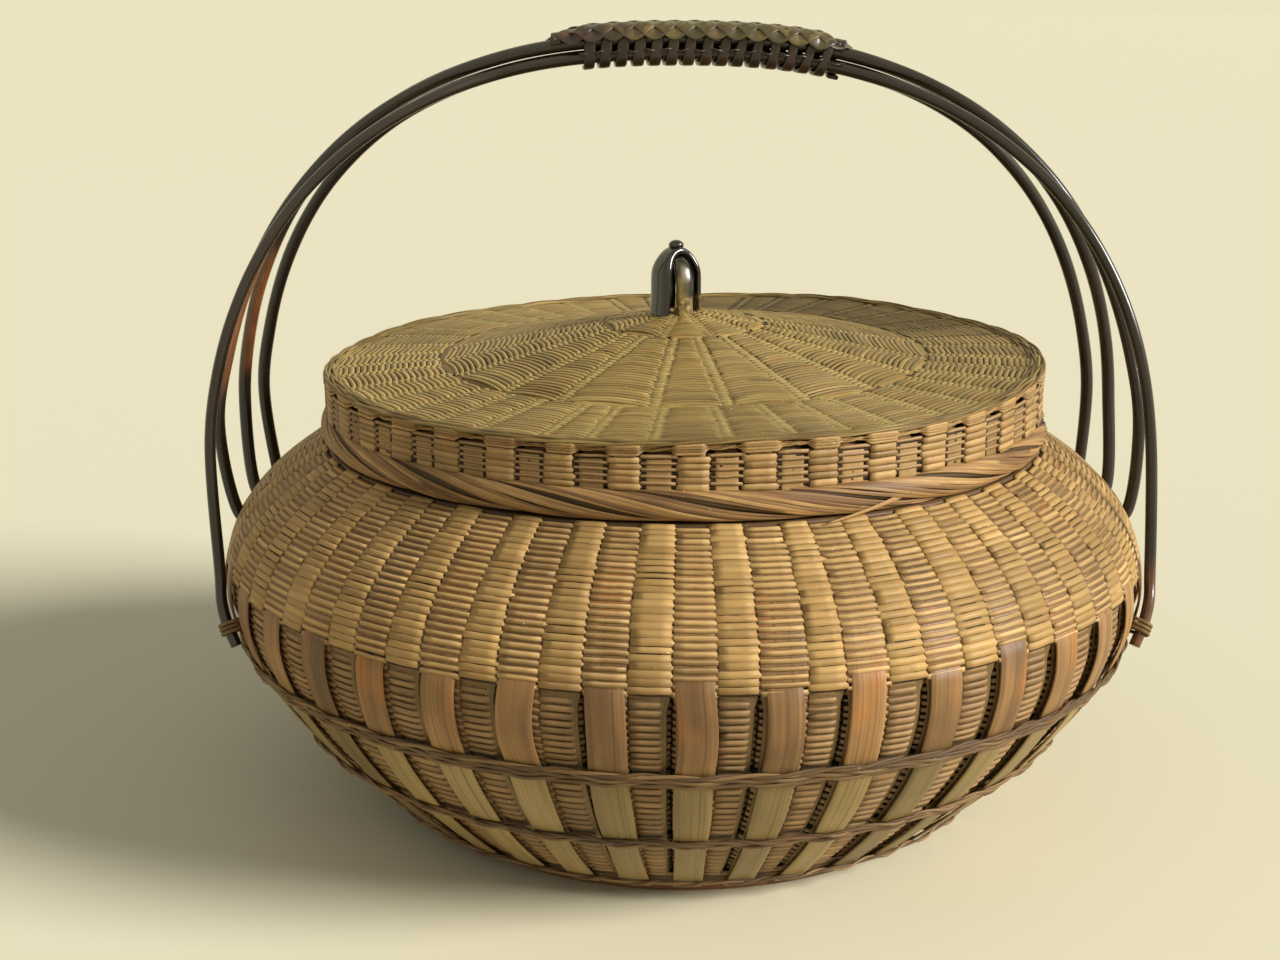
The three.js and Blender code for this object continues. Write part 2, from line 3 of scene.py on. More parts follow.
import bmesh
import bpy
import numpy as np
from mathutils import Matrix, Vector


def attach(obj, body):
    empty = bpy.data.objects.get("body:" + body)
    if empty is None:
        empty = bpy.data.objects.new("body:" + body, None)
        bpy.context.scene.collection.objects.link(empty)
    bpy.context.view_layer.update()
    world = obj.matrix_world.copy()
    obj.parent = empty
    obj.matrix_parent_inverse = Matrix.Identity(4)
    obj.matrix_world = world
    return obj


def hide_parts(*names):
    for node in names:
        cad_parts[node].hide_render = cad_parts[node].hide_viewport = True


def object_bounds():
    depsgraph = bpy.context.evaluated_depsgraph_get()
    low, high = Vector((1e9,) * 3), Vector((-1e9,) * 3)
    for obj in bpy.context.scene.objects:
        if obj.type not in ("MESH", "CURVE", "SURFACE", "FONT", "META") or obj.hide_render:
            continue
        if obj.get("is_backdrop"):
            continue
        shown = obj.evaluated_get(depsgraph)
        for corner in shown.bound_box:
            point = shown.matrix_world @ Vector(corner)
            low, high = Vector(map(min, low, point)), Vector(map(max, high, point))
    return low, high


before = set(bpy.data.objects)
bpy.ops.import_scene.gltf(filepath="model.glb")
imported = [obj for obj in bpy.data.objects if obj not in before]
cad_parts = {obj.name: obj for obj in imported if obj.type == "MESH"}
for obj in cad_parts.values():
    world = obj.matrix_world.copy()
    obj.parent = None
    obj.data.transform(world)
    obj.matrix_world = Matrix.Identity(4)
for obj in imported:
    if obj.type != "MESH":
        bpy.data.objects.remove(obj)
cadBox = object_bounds()

mm = 0.001
fullTurn = 2 * math.pi
chance = np.random.default_rng(17)


# camera: fitted to the lid's ellipse, the bands and the handle in the picture

cameraSettings = {"place": (-0.014, -0.5799, 0.2572), "tilt": 75.12, "lens": 50.48, "sensor": 36}

cameraData = bpy.data.cameras.new("camera")
cameraData.lens = cameraSettings["lens"]
cameraData.sensor_width = cameraSettings["sensor"]
camera = bpy.data.objects.new("camera", cameraData)
camera.location = cameraSettings["place"]
camera.rotation_euler = (math.radians(cameraSettings["tilt"]), 0, 0)
bpy.context.scene.collection.objects.link(camera)
bpy.context.scene.camera = camera
bpy.context.scene.view_settings.view_transform = "Standard"


# shader helpers

def tint(code):
    parts = [int(code[i:i + 2], 16) / 255 for i in (1, 3, 5)]
    flat = [c / 12.92 if c <= 0.04045 else ((c + 0.055) / 1.055) ** 2.4 for c in parts]
    return (*flat, 1)


class Wire:
    # a socket that can be added, multiplied and so on
    def __init__(self, board, socket):
        self.board = board
        self.socket = socket

    def sum(self, operation, *values):
        sockets = dict(enumerate(values))
        return self.board.node("ShaderNodeMath", {"operation": operation}, sockets)

    def __add__(self, other):
        return self.sum("ADD", self, other)

    def __sub__(self, other):
        return self.sum("SUBTRACT", self, other)

    def __mul__(self, other):
        return self.sum("MULTIPLY", self, other)

    def __rsub__(self, other):
        return self.sum("SUBTRACT", other, self)

    __radd__ = __add__
    __rmul__ = __mul__

    def clamped(self, low, high):
        return self.sum("MINIMUM", self.sum("MAXIMUM", self, low), high)


class Board:
    def __init__(self, tree):
        self.tree = tree

    def join(self, socket, value):
        if isinstance(value, Wire):
            self.tree.links.new(value.socket, socket)
        else:
            socket.default_value = value

    def node(self, kind, settings=None, sockets=None, output=0):
        made = self.tree.nodes.new(kind)
        for name, value in (settings or {}).items():
            if name == "stops":
                first, *others, last = value
                made.color_ramp.elements[0].position, made.color_ramp.elements[0].color = first
                made.color_ramp.elements[1].position, made.color_ramp.elements[1].color = last
                for position, colour in others:
                    made.color_ramp.elements.new(position).color = colour
            else:
                setattr(made, name, value)
        for name, value in (sockets or {}).items():
            self.join(made.inputs[name], value)
        return Wire(self, made.outputs[output])

    def mark(self, name):
        return self.node("ShaderNodeAttribute", {"attribute_name": name}, output="Fac")

    def place(self):
        return self.node("ShaderNodeTexCoord", output="Object")

    def axis(self, number):
        return self.node("ShaderNodeSeparateXYZ", {}, {0: self.place()}, number)

    def sheet(self):
        return self.node("ShaderNodeTexCoord", output="UV")

    def noise(self, vector, factors, detail=2, seed=0):
        scaled = self.node("ShaderNodeVectorMath", {"operation": "MULTIPLY"}, {0: vector, 1: factors})
        sockets = {"Vector": scaled, "W": seed, "Scale": 1, "Detail": detail}
        return self.node("ShaderNodeTexNoise", {"noise_dimensions": "4D"}, sockets)

    def ramp(self, factor, stops):
        stops = [(position, tint(code)) for position, code in stops]
        return self.node("ShaderNodeValToRGB", {"stops": stops}, {0: factor})

    def band(self, value, low, high):
        # 0 at low and 1 at high, smooth between them
        sockets = {"Value": value, "From Min": low, "From Max": high}
        return self.node("ShaderNodeMapRange", {"interpolation_type": "SMOOTHSTEP"}, sockets)

    def mix(self, factor, first, second):
        sockets = {0: factor, 6: first, 7: second}
        return self.node("ShaderNodeMix", {"data_type": "RGBA"}, sockets, 2)


class Finish(Board):
    def __init__(self, name, slot=None, **shader):
        self.slot = slot
        self.material = bpy.data.materials.new(name)
        self.material.use_nodes = True
        super().__init__(self.material.node_tree)
        self.shader = self.tree.nodes["Principled BSDF"]
        self.set({"Specular IOR Level": 0.3, **shader})

    def set(self, sockets):
        for name, value in sockets.items():
            self.join(self.shader.inputs[name], value)

    def finished(self, colour, roughness, height, strength, distance, more=None):
        self.set({"Base Color": colour, "Roughness": roughness, **(more or {})})
        sockets = {"Strength": strength, "Distance": distance, "Height": height}
        self.set({"Normal": self.node("ShaderNodeBump", {}, sockets)})
        return self


# meshes and pieces

def meshOf(name, bm):
    mesh = bpy.data.meshes.new(name)
    bm.to_mesh(mesh)
    bm.free()
    return mesh


def addPiece(mesh, finish, body, *nodes):
    piece = bpy.data.objects.new(mesh.name, mesh)
    bpy.context.scene.collection.objects.link(piece)
    mesh.materials.append(finish.material)
    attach(piece, body)
    if nodes:
        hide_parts(*nodes)
    print(f"{mesh.name}: {sum(len(p.vertices) - 2 for p in mesh.polygons)} triangles")


# floor and light

stageSettings = {"floorRadius": 60.0, "floorTint": "#ece4c2", "skyTint": "#ebe3c1", "skyLevel": 0.245,
                 "keyLevel": 4.9, "keyTurn": (65, 0, 69), "keySpread": 22,
                 "fillLevel": 0.27, "fillTurn": (40, 0, -30), "fillSpread": 80}


def makeStage():
    bm = bmesh.new()
    bmesh.ops.create_circle(bm, cap_ends=True, segments=96, radius=stageSettings["floorRadius"])
    mesh = meshOf("floor", bm)
    floor = bpy.data.objects.new("floor", mesh)
    bpy.context.scene.collection.objects.link(floor)
    paper = Finish("floorPaper", Roughness=0.9)
    paper.set({"Base Color": tint(stageSettings["floorTint"])})
    mesh.materials.append(paper.material)
    floor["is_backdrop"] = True

    world = bpy.data.worlds.new("studio")
    bpy.context.scene.world = world
    world.use_nodes = True
    sky = Board(world.node_tree)
    back = world.node_tree.nodes["Background"]
    seen = [sky.node("ShaderNodeLightPath", output=ray)
            for ray in ("Is Camera Ray", "Is Glossy Ray", "Is Transmission Ray")]
    direct = (seen[0] + seen[1] + seen[2]).clamped(0, 1)
    sky.join(back.inputs["Color"], sky.mix(direct, (1, 1, 1, 1), tint(stageSettings["skyTint"])))
    level = stageSettings["skyLevel"]
    sky.join(back.inputs["Strength"], direct * (1 - level) + level)

    for name in ("key", "fill"):
        lamp = bpy.data.lights.new(name, "SUN")
        lamp.energy = stageSettings[name + "Level"]
        lamp.angle = math.radians(stageSettings[name + "Spread"])
        made = bpy.data.objects.new(name, lamp)
        made.rotation_euler = [math.radians(a) for a in stageSettings[name + "Turn"]]
        bpy.context.scene.collection.objects.link(made)


makeStage()
print("stage made")


# strands: sheets rolled into tubes or closed rings, and laid where an array of points says

def rolled(steps, sides, closed):
    spans = steps if closed else steps - 1
    bm = bmesh.new()
    bm.loops.layers.uv.new("UVMap")
    stepMark = bm.verts.layers.int.new("step")
    sideMark = bm.verts.layers.int.new("side")
    bmesh.ops.create_grid(bm, x_segments=spans, y_segments=sides, size=0.5, calc_uvs=True)
    for v in bm.verts:
        number = round((v.co.x + 0.5) * spans)
        side = round((v.co.y + 0.5) * sides) % sides
        v[stepMark] = number % steps
        v[sideMark] = side
        across = fullTurn * side / sides
        around = fullTurn * (number % steps) / steps if closed else 0
        reach = 10 + math.cos(across)
        ahead = 0 if closed else number
        v.co = (reach * math.sin(around) + ahead, -reach * math.cos(around), math.sin(across))
    bmesh.ops.remove_doubles(bm, verts=bm.verts, dist=1e-4)
    bmesh.ops.holes_fill(bm, edges=[e for e in bm.edges if e.is_boundary], sides=0)
    bmesh.ops.recalc_face_normals(bm, faces=bm.faces)
    return meshOf("strand", bm)


# 0 at start and 1 at end, smooth between
def step(x, start, end):
    x = np.clip((x - start) / (end - start), 0, 1)
    return x * x * (3 - 2 * x)


def readMark(mesh, name):
    values = np.zeros(len(mesh.vertices), np.int32)
    mesh.attributes[name].data.foreach_get("value", values)
    return values


# the lid has warped: its rim stands higher at the back right and lower at the front left
lidWarp = {"radius": 116, "heights": (131, 145), "rise": 3.4, "droop": 0.62, "highest": 135,
           "ripples": [(0.3, 5, 1), (0.25, 8, 0)]}


def warped(points):
    w = lidWarp
    x, y, z = np.moveaxis(points, -1, 0)
    angle = np.arctan2(x, -y)
    lean = np.cos(angle - math.radians(w["highest"]))
    lean = w["rise"] * np.where(lean < 0, lean * w["droop"], lean)
    for size, count, turn in w["ripples"]:
        lean = lean + size * np.sin(count * angle + turn)
    share = np.clip(np.hypot(x, y) / w["radius"], 0, 1.02) ** 2 * step(z, *w["heights"])
    return np.stack([x, y, z + lean * share], -1)


# points: strands x steps x sides x 3, in millimetres; marks are numbers that the finish reads
def laid(name, points, closed, **marks):
    if name.startswith(("lid", "spokes")):
        points = warped(points)
    count, steps, sides = points.shape[:3]
    strand = rolled(steps, sides, closed)
    number, side = readMark(strand, "step"), readMark(strand, "side")
    bm = bmesh.new()
    for _ in range(count):
        bm.from_mesh(strand)
    mesh = meshOf(name, bm)
    bpy.data.meshes.remove(strand)
    mesh.vertices.foreach_set("co", (points[:, number, side] * mm).astype(np.float32).ravel())
    for mark, values in marks.items():
        layer = mesh.attributes.new(mark, "FLOAT", "POINT")
        values = np.broadcast_to(values, points.shape[:3])[:, number, side]
        layer.data.foreach_set("value", values.astype(np.float32).ravel())
    for mark in ("step", "side"):
        mesh.attributes.remove(mesh.attributes[mark])
    mesh.shade_smooth()
    mesh.update()
    bm = bmesh.new()
    bm.from_mesh(mesh)
    if bm.calc_volume(signed=True) < 0:
        mesh.flip_normals()
    bm.free()
    return mesh


def roundSection(sides):
    angle = fullTurn * np.arange(sides) / sides
    return np.stack([np.cos(angle), np.sin(angle)], 1)


# a flat splint's section: across, up, with small rounded corners
splintSection = np.array([(1, 0), (0.93, 0.75), (0.6, 1), (-0.6, 1), (-0.93, 0.75), (-1, 0),
                          (-0.93, -0.75), (-0.6, -1), (0.6, -1), (0.93, -0.75)])


# tubes, each given as its line and the unit vectors across and up; wide and thick are whole sizes
def tubesOf(tubes, wide, thick, section):
    line, across, up = (np.array(part) for part in zip(*tubes))
    wide, thick = (np.broadcast_to(v, line.shape[:-1])[..., None, None] / 2 for v in (wide, thick))
    side = section[:, :1] * across[..., None, :] * wide
    rise = section[:, 1:] * up[..., None, :] * thick
    return line[..., None, :] + side + rise


# outline of the body, as in the solid model

outline = {"bellyRadius": 150, "bellyHeight": 78, "footRadius": 92.3, "mouthRadius": 117,
           "shoulderHeight": 121.7, "baseRoundness": 1.65, "shoulderRoundness": 2.4}


def wallRadius(z):
    z = np.asarray(z, float)
    below = np.clip(1 - z / outline["bellyHeight"], 0, None) ** outline["baseRoundness"]
    rise = outline["shoulderHeight"] - outline["bellyHeight"]
    above = np.clip((z - outline["bellyHeight"]) / rise, 0, None) ** outline["shoulderRoundness"]
    belly = outline["bellyRadius"]
    low = belly - (belly - outline["footRadius"]) * below
    return np.where(z < outline["bellyHeight"], low, belly - (belly - outline["mouthRadius"]) * above)


def wallLine(low, high):
    z = np.linspace(low, high, 160)
    return np.stack([wallRadius(z), z], 1)


# places along an outline of r, z: where each row or point is, and the ways along and out
def spread(line, shares, depth):
    line = np.asarray(line, float)
    length = np.concatenate([[0], np.cumsum(np.hypot(*np.diff(line, axis=0).T))])

    def find(distance):
        return np.stack([np.interp(distance, length, line[:, i]) for i in (0, 1)], 1)

    at = np.asarray(shares, float) * length[-1]
    nearby = 0.01 * length[-1]
    along = find(np.minimum(at + nearby, length[-1])) - find(np.maximum(at - nearby, 0))
    along /= np.linalg.norm(along, axis=1)[:, None]
    outward = np.stack([along[:, 1], -along[:, 0]], 1)
    depth = np.broadcast_to(depth, at.shape)
    return {"at": find(at) - outward * depth[:, None], "along": along, "outward": outward,
            "pitch": length[-1] / len(at)}


def rowsOf(line, count, depth):
    return spread(line, (np.arange(count) + 0.5) / count, depth)


def onRing(r, z, angle):
    r, z, angle = np.broadcast_arrays(r, z, angle)
    return np.stack([r * np.sin(angle), -r * np.cos(angle), z], -1)


# columns: the angles at which a weft goes from the front of one stake to the back of the next.
# The first column is centred at the back, and an even one holds a wide strip.

class Columns:
    def __init__(self, count, evenShare, parts, jitter=0, drift=0):
        pair = 2 * fullTurn / count
        start = -math.pi - evenShare * pair / 2
        self.count = count
        self.edges = start + pair * np.repeat(np.arange(count // 2), 2)
        self.edges[1::2] += evenShare * pair
        self.edges += chance.uniform(-jitter, jitter, count)
        self.drift = chance.uniform(-drift, drift, count)
        self.column = np.concatenate([np.full(len(parts[c % 2]), c) for c in range(count)])
        self.part = np.concatenate([parts[c % 2] for c in range(count)])

    # the edges at each place, with the first again after the last
    def edgesAt(self, at):
        level = (at[:, 1] - outline["bellyHeight"]) / 45
        edges = self.edges + self.drift * level[:, None]
        return np.concatenate([edges, edges[:, :1] + fullTurn], -1)

    def angles(self, at):
        edges = self.edgesAt(at)
        low, high = edges[:, self.column], edges[:, self.column + 1]
        return low + (high - low) * self.part, high - low

    def middles(self, at):
        edges = self.edgesAt(at)
        return (edges[:, 1:] + edges[:, :-1]).T / 2, (edges[:, 1:] - edges[:, :-1]).T


# narrow spokes in the odd columns, which keep their width where the wide columns taper
class SpokeColumns(Columns):
    def __init__(self, count, ridge, parts, jitter):
        super().__init__(count, 0.5, parts)
        pair = 2 * fullTurn / count
        self.ridge = ridge
        self.spokes = -math.pi + pair * (np.arange(count // 2) + 0.5)
        self.spokes += chance.uniform(-jitter, jitter, count // 2) * pair

    def edgesAt(self, at):
        half = np.minimum(self.ridge / 2 / at[:, 0], 0.3 * fullTurn / self.count)[:, None]
        low, high = self.spokes - half, self.spokes + half
        first = np.concatenate([high[:, -1:] - fullTurn, high[:, :-1]], 1)
        edges = np.stack([first, low], -1).reshape(len(at), -1)
        return np.concatenate([edges, edges[:, :1] + fullTurn], 1)


# a slow random wave round the ring, the same for all rows
def ringWave(angle, size, turns):
    phases = chance.uniform(0, fullTurn, len(turns))
    return size * sum(np.sin(k * angle + p) for k, p in zip(turns, phases)) / len(turns)


# each weft is several splints long, and each splint has its own tone
def splintTones(rows, angle, splints):
    starts = chance.uniform(0, fullTurn, (rows, 1))
    tones = chance.uniform(0, 1, (rows, splints + 1))
    place = ((angle + starts) / fullTurn % 1) * splints
    return np.take_along_axis(tones, place.astype(int), 1)


# wefts in front of every second stake and behind the others. Pairs of numbers in the look are
# for even and odd columns, or for the even columns' left and right edges.
def woven(name, rows, columns, look):
    at, along, outward, pitch = rows["at"], rows["along"], rows["outward"], rows["pitch"]
    number = np.arange(len(at))[:, None]
    column, part = columns.column, columns.part
    odd = column % 2
    angle, width = columns.angles(at)
    size = width * at[:, :1]
    inFront = 1 - 2 * ((number + column) % 2)
    over, raised, ramp, pinch, pair, bulge, flat = (
        np.array(look[key]) for key in ("over", "lift", "ramp", "pinch", "pair", "bulge", "flat"))
    left, right = odd, 1 - odd
    crest = np.minimum(step(part * size, 0, ramp[left]), step((1 - part) * size, 0, ramp[right]))
    edge = np.where(part > 0.5, right, left)
    uneven = chance.normal(1, look["uneven"], (len(at), columns.count))
    wearAndShade = chance.random(uneven.shape) < look["wearAndShade"]
    uneven = np.where(wearAndShade, look["wornWidth"], uneven)[:, column]
    full = np.where(inFront > 0, over[odd] * uneven, look["under"])
    half = pitch * (pinch[edge] + (full - pinch[edge]) * crest)
    domed = 1 - (2 * part - 1) ** 2
    shift = pair[edge] * pitch * (1 - 2 * (number % 2)) * (1 - crest)
    shift = shift + look["sag"] * at[:, :1] * (1 - np.cos(width / 2)) * domed * (1 - odd)
    shift = shift + ringWave(angle[:1], look["wave"], (2, 5, 9))
    shift = shift + chance.normal(0, look["rough"], angle.shape)
    angle = angle + chance.normal(0, look["ragged"], angle.shape) * (part == 0) / at[:, :1]
    # gaps at the even columns' left edges
    evenReach, oddReach = look["slotReach"]
    slot = np.where(odd, step((1 - part) * size, oddReach, 0), step(part * size, evenReach, 0))
    slot = np.where(odd + (part < 0.5) > 0, slot, 0) * look["slot"]
    lift = inFront * raised[odd] * crest + bulge[odd] * domed - slot
    lift = lift + chance.normal(0, look["rough"] * 0.6, angle.shape)

    # a weft's section: four corners, the outer two drawn together
    face, back = flat[odd], np.ones_like(flat[odd])
    out = lift[..., None] + np.array([1, -1, -1, 1]) * look["thick"]
    up = shift[..., None] + np.stack([face, back, -back, -face], -1) * half[..., None]
    r = at[:, :1, None] + outward[:, :1, None] * out + along[:, :1, None] * up
    z = at[:, 1:, None] + outward[:, 1:, None] * out + along[:, 1:, None] * up
    points = onRing(r, z, angle[..., None])
    bars = chance.uniform(0, 1, (len(at), columns.count))[:, column]
    tone = 0.6 * splintTones(len(at), angle, look["splints"]) + 0.4 * bars
    # darker on the back-right of the lid's outer ring, through the same dark mix
    backBrimDark = step(np.cos(angle - look["backBrimDarkMiddle"]), *look["backBrimDarkWidth"])
    backBrimDark = backBrimDark * step(angle % fullTurn, *look["backBrimDarkStart"])
    # the crest mark is 1 on a weft's front and 0 where it passes behind a stake or sinks into a slot;
    # the finish paints shade where it is low
    depth = (0.5 + 0.5 * inFront * crest - 0.5 * (slot > 0.2)) * (1 - look["backBrimDark"] * backBrimDark)
    # lip: +1 at a weft's top corners and -1 at its lower ones; the finish paints light on the top edge
    # and shade on the lower edge
    return laid(name, points, True, tone=tone[..., None], crest=depth[..., None],
                odd=np.broadcast_to(odd, angle.shape)[..., None] * 1.0,
                lip=np.array(look["lip"])[odd][:, None] * (1, 0.8, -1, -1))


# flat stakes that lie along an outline, one for each angle in turn
def stakesAlong(name, places, angle, wide, thick, lift=0, sway=0, odd=0):
    angle = angle + sway / np.maximum(places["at"][:, 0], 1)
    at = places["at"] + places["outward"] * np.broadcast_to(lift, angle.shape)[..., None]
    line = onRing(at[..., 0], at[..., 1], angle)
    across = np.stack([np.cos(angle), np.sin(angle), 0 * angle], -1)
    out = onRing(places["outward"][:, 0], places["outward"][:, 1], angle)
    tubes = zip(*np.broadcast_arrays(line, across, out))
    points = tubesOf(tubes, wide, thick, splintSection)
    tone = chance.uniform(0, 1, (len(angle), 1, 1))
    return laid(name, points, False, tone=tone, crest=1.0, odd=odd)


wallParts = ([0, 0.04, 0.3, 0.5, 0.7, 0.96], [0, 0.04, 0.3, 0.5, 0.7, 0.962])
wallColumns = Columns(80, 0.52, wallParts, 0.004, 0.006)


# finishes of the split bamboo

def splintFinish(name, slot, look):
    made = Finish(name, slot)
    tone, crest = made.mark("tone"), made.mark("crest")
    grain = made.noise(made.sheet(), (look["grain"], 3, 1), 3, tone * 60)
    patch = made.noise(made.place(), (28, 28, 40), 3)
    stain = made.noise(made.place(), (9, 9, 14), 2, 3.0)
    shade = tone * 0.42 + grain * 0.5 + patch * 0.5 - 0.22
    colour = made.ramp(shade, look["stops"])
    warmth = made.noise(made.place(), (70, 70, 90), 3, tone * 25)
    colour = made.mix(made.band(warmth, 0.5, 0.66) * look["warmShare"], colour, tint(look["warm"]))
    colour = made.mix(made.mark("odd") * look["oddShare"], colour, tint(look["oddTint"]))
    colour = made.mix(made.band(stain, 0.52, 0.7) * look["stain"], colour, tint(look["dark"]))
    # painted highlight along each weft's top edge and painted shade along its lower edge
    lip = made.mark("lip")
    colour = made.mix(lip.clamped(0, 1) * 0.28, colour, tint(look["stops"][-1][1]))
    colour = made.mix((0 - lip).clamped(0, 1) * 0.42, colour, tint(look["dark"]))
    # painted shade: dark where the crest mark is low, on wefts behind stakes, in slots, at twined dips
    # and at the border's strand edges
    wearAndShade = made.band(crest, 0.05, 0.5)
    colour = made.mix(1 - wearAndShade, colour, tint(look["dark"]))
    # pale specks: dust, and also painted glints
    dustAndGlints = made.band(made.noise(made.place(), (650, 650, 900), 1, 5.0), 0.77, 0.8) * 0.7
    colour = made.mix(dustAndGlints * wearAndShade, colour, tint("#efe3c4"))
    return made.finished(colour, 0.36 + grain * 0.34 + (1 - wearAndShade) * 0.15, grain, 0.5, 0.3 * mm)


shoulderWeft = splintFinish("shoulderWeft", "woven_bamboo", {
    "grain": 70, "dark": "#2f2113", "stain": 0.35, "oddTint": "#a8854a", "oddShare": 0.4,
    "warm": "#9a6836", "warmShare": 0.3,
    "stops": [(0.1, "#6a4e2c"), (0.4, "#a27e48"), (0.7, "#cda566"), (0.95, "#f2cf92")]})
wallWeft = splintFinish("wallWeft", "woven_bamboo", {
    "grain": 70, "dark": "#1f150d", "stain": 0.4, "oddTint": "#86693c", "oddShare": 0.3,
    "warm": "#7c4c28", "warmShare": 0.3,
    "stops": [(0.1, "#4f3920"), (0.45, "#846440"), (0.7, "#a88454"), (0.95, "#cda877")]})
lidWeft = splintFinish("lidWeft", "lid_bamboo", {
    "grain": 70, "dark": "#33280f", "stain": 0.3, "oddTint": "#bca664", "oddShare": 0.4,
    "warm": "#9c6c36", "warmShare": 0.45,
    "stops": [(0.1, "#544222"), (0.4, "#88703b"), (0.7, "#ab8f4f"), (0.95, "#d6bb79")]})
lidWallWeft = splintFinish("lidWallWeft", "lid_bamboo", {
    "grain": 70, "dark": "#2a1d10", "stain": 0.35, "oddTint": "#6c4e2c", "oddShare": 0.6,
    "warm": "#96602f", "warmShare": 0.3,
    "stops": [(0.1, "#5a4225"), (0.4, "#957546"), (0.7, "#bc965e"), (0.95, "#e0bd88")]})

# canes and plain splints, whose columns have no tint of their own
plainLook = {"warm": "#7c4f2a", "warmShare": 0.3, "oddTint": "#2c2110", "oddShare": 0, "stain": 0.3}


def stripFinish(name, slot):
    made = Finish(name, slot)
    tone, z = made.mark("tone"), made.axis(2)
    grain = made.noise(made.sheet(), (3, 14, 1), 4, tone * 90)
    patch = made.noise(made.place(), (45, 45, 30), 3, 1.0)
    red = made.ramp(grain * 0.6 + patch * 0.55 + tone * 0.16 - 0.15,
                    [(0.2, "#47331f"), (0.45, "#7a5a37"), (0.6, "#9a7345"), (0.85, "#c49a60")])
    olive = made.ramp(grain * 0.5 + patch * 0.4 + tone * 0.3 - 0.1,
                      [(0.2, "#5f4e2e"), (0.5, "#8b7446"), (0.8, "#ae945e")])
    level = made.band(z + patch * 0.012, 0.0585, 0.0725)
    rubbed = made.band(made.noise(made.place(), (60, 60, 25), 2, 7.0), 0.52, 0.66)
    rubbed = rubbed * made.band(z, 0.066, 0.082) * 0.6
    red = made.mix(rubbed, red, tint("#b5702f"))
    colour = made.mix(made.mark("odd"), made.mix(level, olive, red), tint("#715934"))
    streak = made.band(made.noise(made.sheet(), (2, 90, 1), 2, tone * 40), 0.5, 0.7)
    colour = made.mix(streak * 0.4, colour, tint("#35240f"))
    return made.finished(colour, 0.32 + grain * 0.3, grain + streak * 0.3, 0.35, 0.3 * mm)


stripBamboo = stripFinish("stripBamboo", "strip_bamboo")


# woven walls

weaveLook = {"thick": 0.3, "under": 0.45, "pair": (0, 0), "bulge": (0, 0), "wearAndShade": 0.01,
             "wornWidth": 0.6, "rough": 0.04, "uneven": 0.1, "ragged": 0.3, "sag": 0, "splints": 7,
             "slot": 0, "slotReach": (4, 2.2), "backBrimDark": 0, "backBrimDarkMiddle": 2.4, "backBrimDarkWidth": (0.05, 0.9),
             "backBrimDarkStart": (1.2, 2.1)}
wallLook = {**weaveLook, "lift": (0.4, 0.42), "over": (0.7, 0.86), "flat": (0.6, 0.6),
            "pinch": (0.34, 0.5), "pair": (0.14, 0), "ramp": (0.6, 0.5), "bulge": (0, 0.15),
            "wave": 0.15, "rough": 0.03, "ragged": 0.25, "slot": 1.7, "lip": (1, 0.7)}
shoulderLook = {**weaveLook, "lift": (0.34, 0.22), "over": (0.76, 0.96), "flat": (0.66, 0.92),
                "pinch": (0.32, 0.6), "pair": (0.3, 0), "ramp": (0.22, 0.3), "bulge": (0, 0.22),
                "wave": 0.3, "wearAndShade": 0.004, "ragged": 0.4, "lip": (1, 0.35)}
crownLook = {**weaveLook, "lift": (0.13, 0.2), "over": (0.84, 0.86), "flat": (0.9, 0.86),
             "pinch": (0.6, 0.6), "ramp": (0.6, 0.6), "bulge": (0.3, 0), "thick": 0.22, "under": 0.5,
             "wave": 0.35, "uneven": 0.12, "sag": 2.2, "lip": (0.5, 0.4)}
weaveDepth = {"wall": 2.3, "shoulder": 0.85}
wall, shoulder = ("wall", wallLook, wallWeft), ("shoulder", shoulderLook, shoulderWeft)
zones = {"lowerWeave": ("lower_weave", 8.2, 32.0, 20, wall),
         "middleWeave": ("middle_weave", 33.4, 59.4, 20, wall),
         "bellyWeave": ("belly_weave", 60.6, 85.0, 22, wall),
         "shoulderWeave": ("shoulder_weave", 85.0, 121.7, 48, shoulder)}
for name, (node, low, high, count, (part, look, finish)) in zones.items():
    rows = rowsOf(wallLine(low, high), count, weaveDepth[part])
    addPiece(woven(name, rows, wallColumns, look), finish, "basket", node)


# outer strips, in even columns, and the thinner stakes inside the weave

stripSettings = {"width": 10.4, "lowWidth": 8.6, "widens": (25, 45), "thickness": 0.8,
                 "under": (4, 88.3, 3.4), "low": 4.5, "top": 94, "steps": 70, "uneven": 0.025,
                 "lifts": (62, 72), "settles": (86, 80), "end": 84.5, "endSpread": 5, "tuck": -1.7,
                 "bow": 0.4, "bowFrom": 60, "bowLength": 26}


def makeStrips():
    s = stripSettings
    inner, outer, height = s["under"]
    under = np.stack([np.linspace(inner, outer, 40), np.full(40, height)], 1)
    line = np.concatenate([under, wallLine(s["low"], s["top"])])
    shares = np.linspace(0, 1, s["steps"])
    places = spread(line, shares, s["thickness"] / 2)
    r, z = places["at"].T
    angle = wallColumns.middles(places["at"])[0][::2]
    count = len(angle)
    taper = s["lowWidth"] + (s["width"] - s["lowWidth"]) * step(z, *s["widens"])
    wide = taper * (1 + chance.normal(0, s["uneven"], (count, 1)))
    wide = np.minimum(wide, fullTurn * r / count * 1.02)
    rise = step(z, *s["lifts"]) * step(z, *s["settles"])
    end = s["end"] + chance.uniform(0, s["endSpread"], (count, 1))
    tuck = s["tuck"] * step(z, end, end + 2)
    arc = np.sin(np.pi * np.clip((z - s["bowFrom"]) / s["bowLength"], 0, 1))
    bow = chance.normal(0, s["bow"], (count, 1)) * arc
    lift = tuck + rise * chance.uniform(0, 0.5, (count, 1))
    mesh = stakesAlong("outerStakes", places, angle, wide, s["thickness"], lift, bow)
    addPiece(mesh, stripBamboo, "basket", "outer_stakes")


makeStrips()


thinStake = 0.35
innerStakeSettings = {"heights": (8, 121.5), "steps": 46, "thickness": 0.4,
                      "thins": (82, 88), "closes": (86, 81), "gap": 0.5}


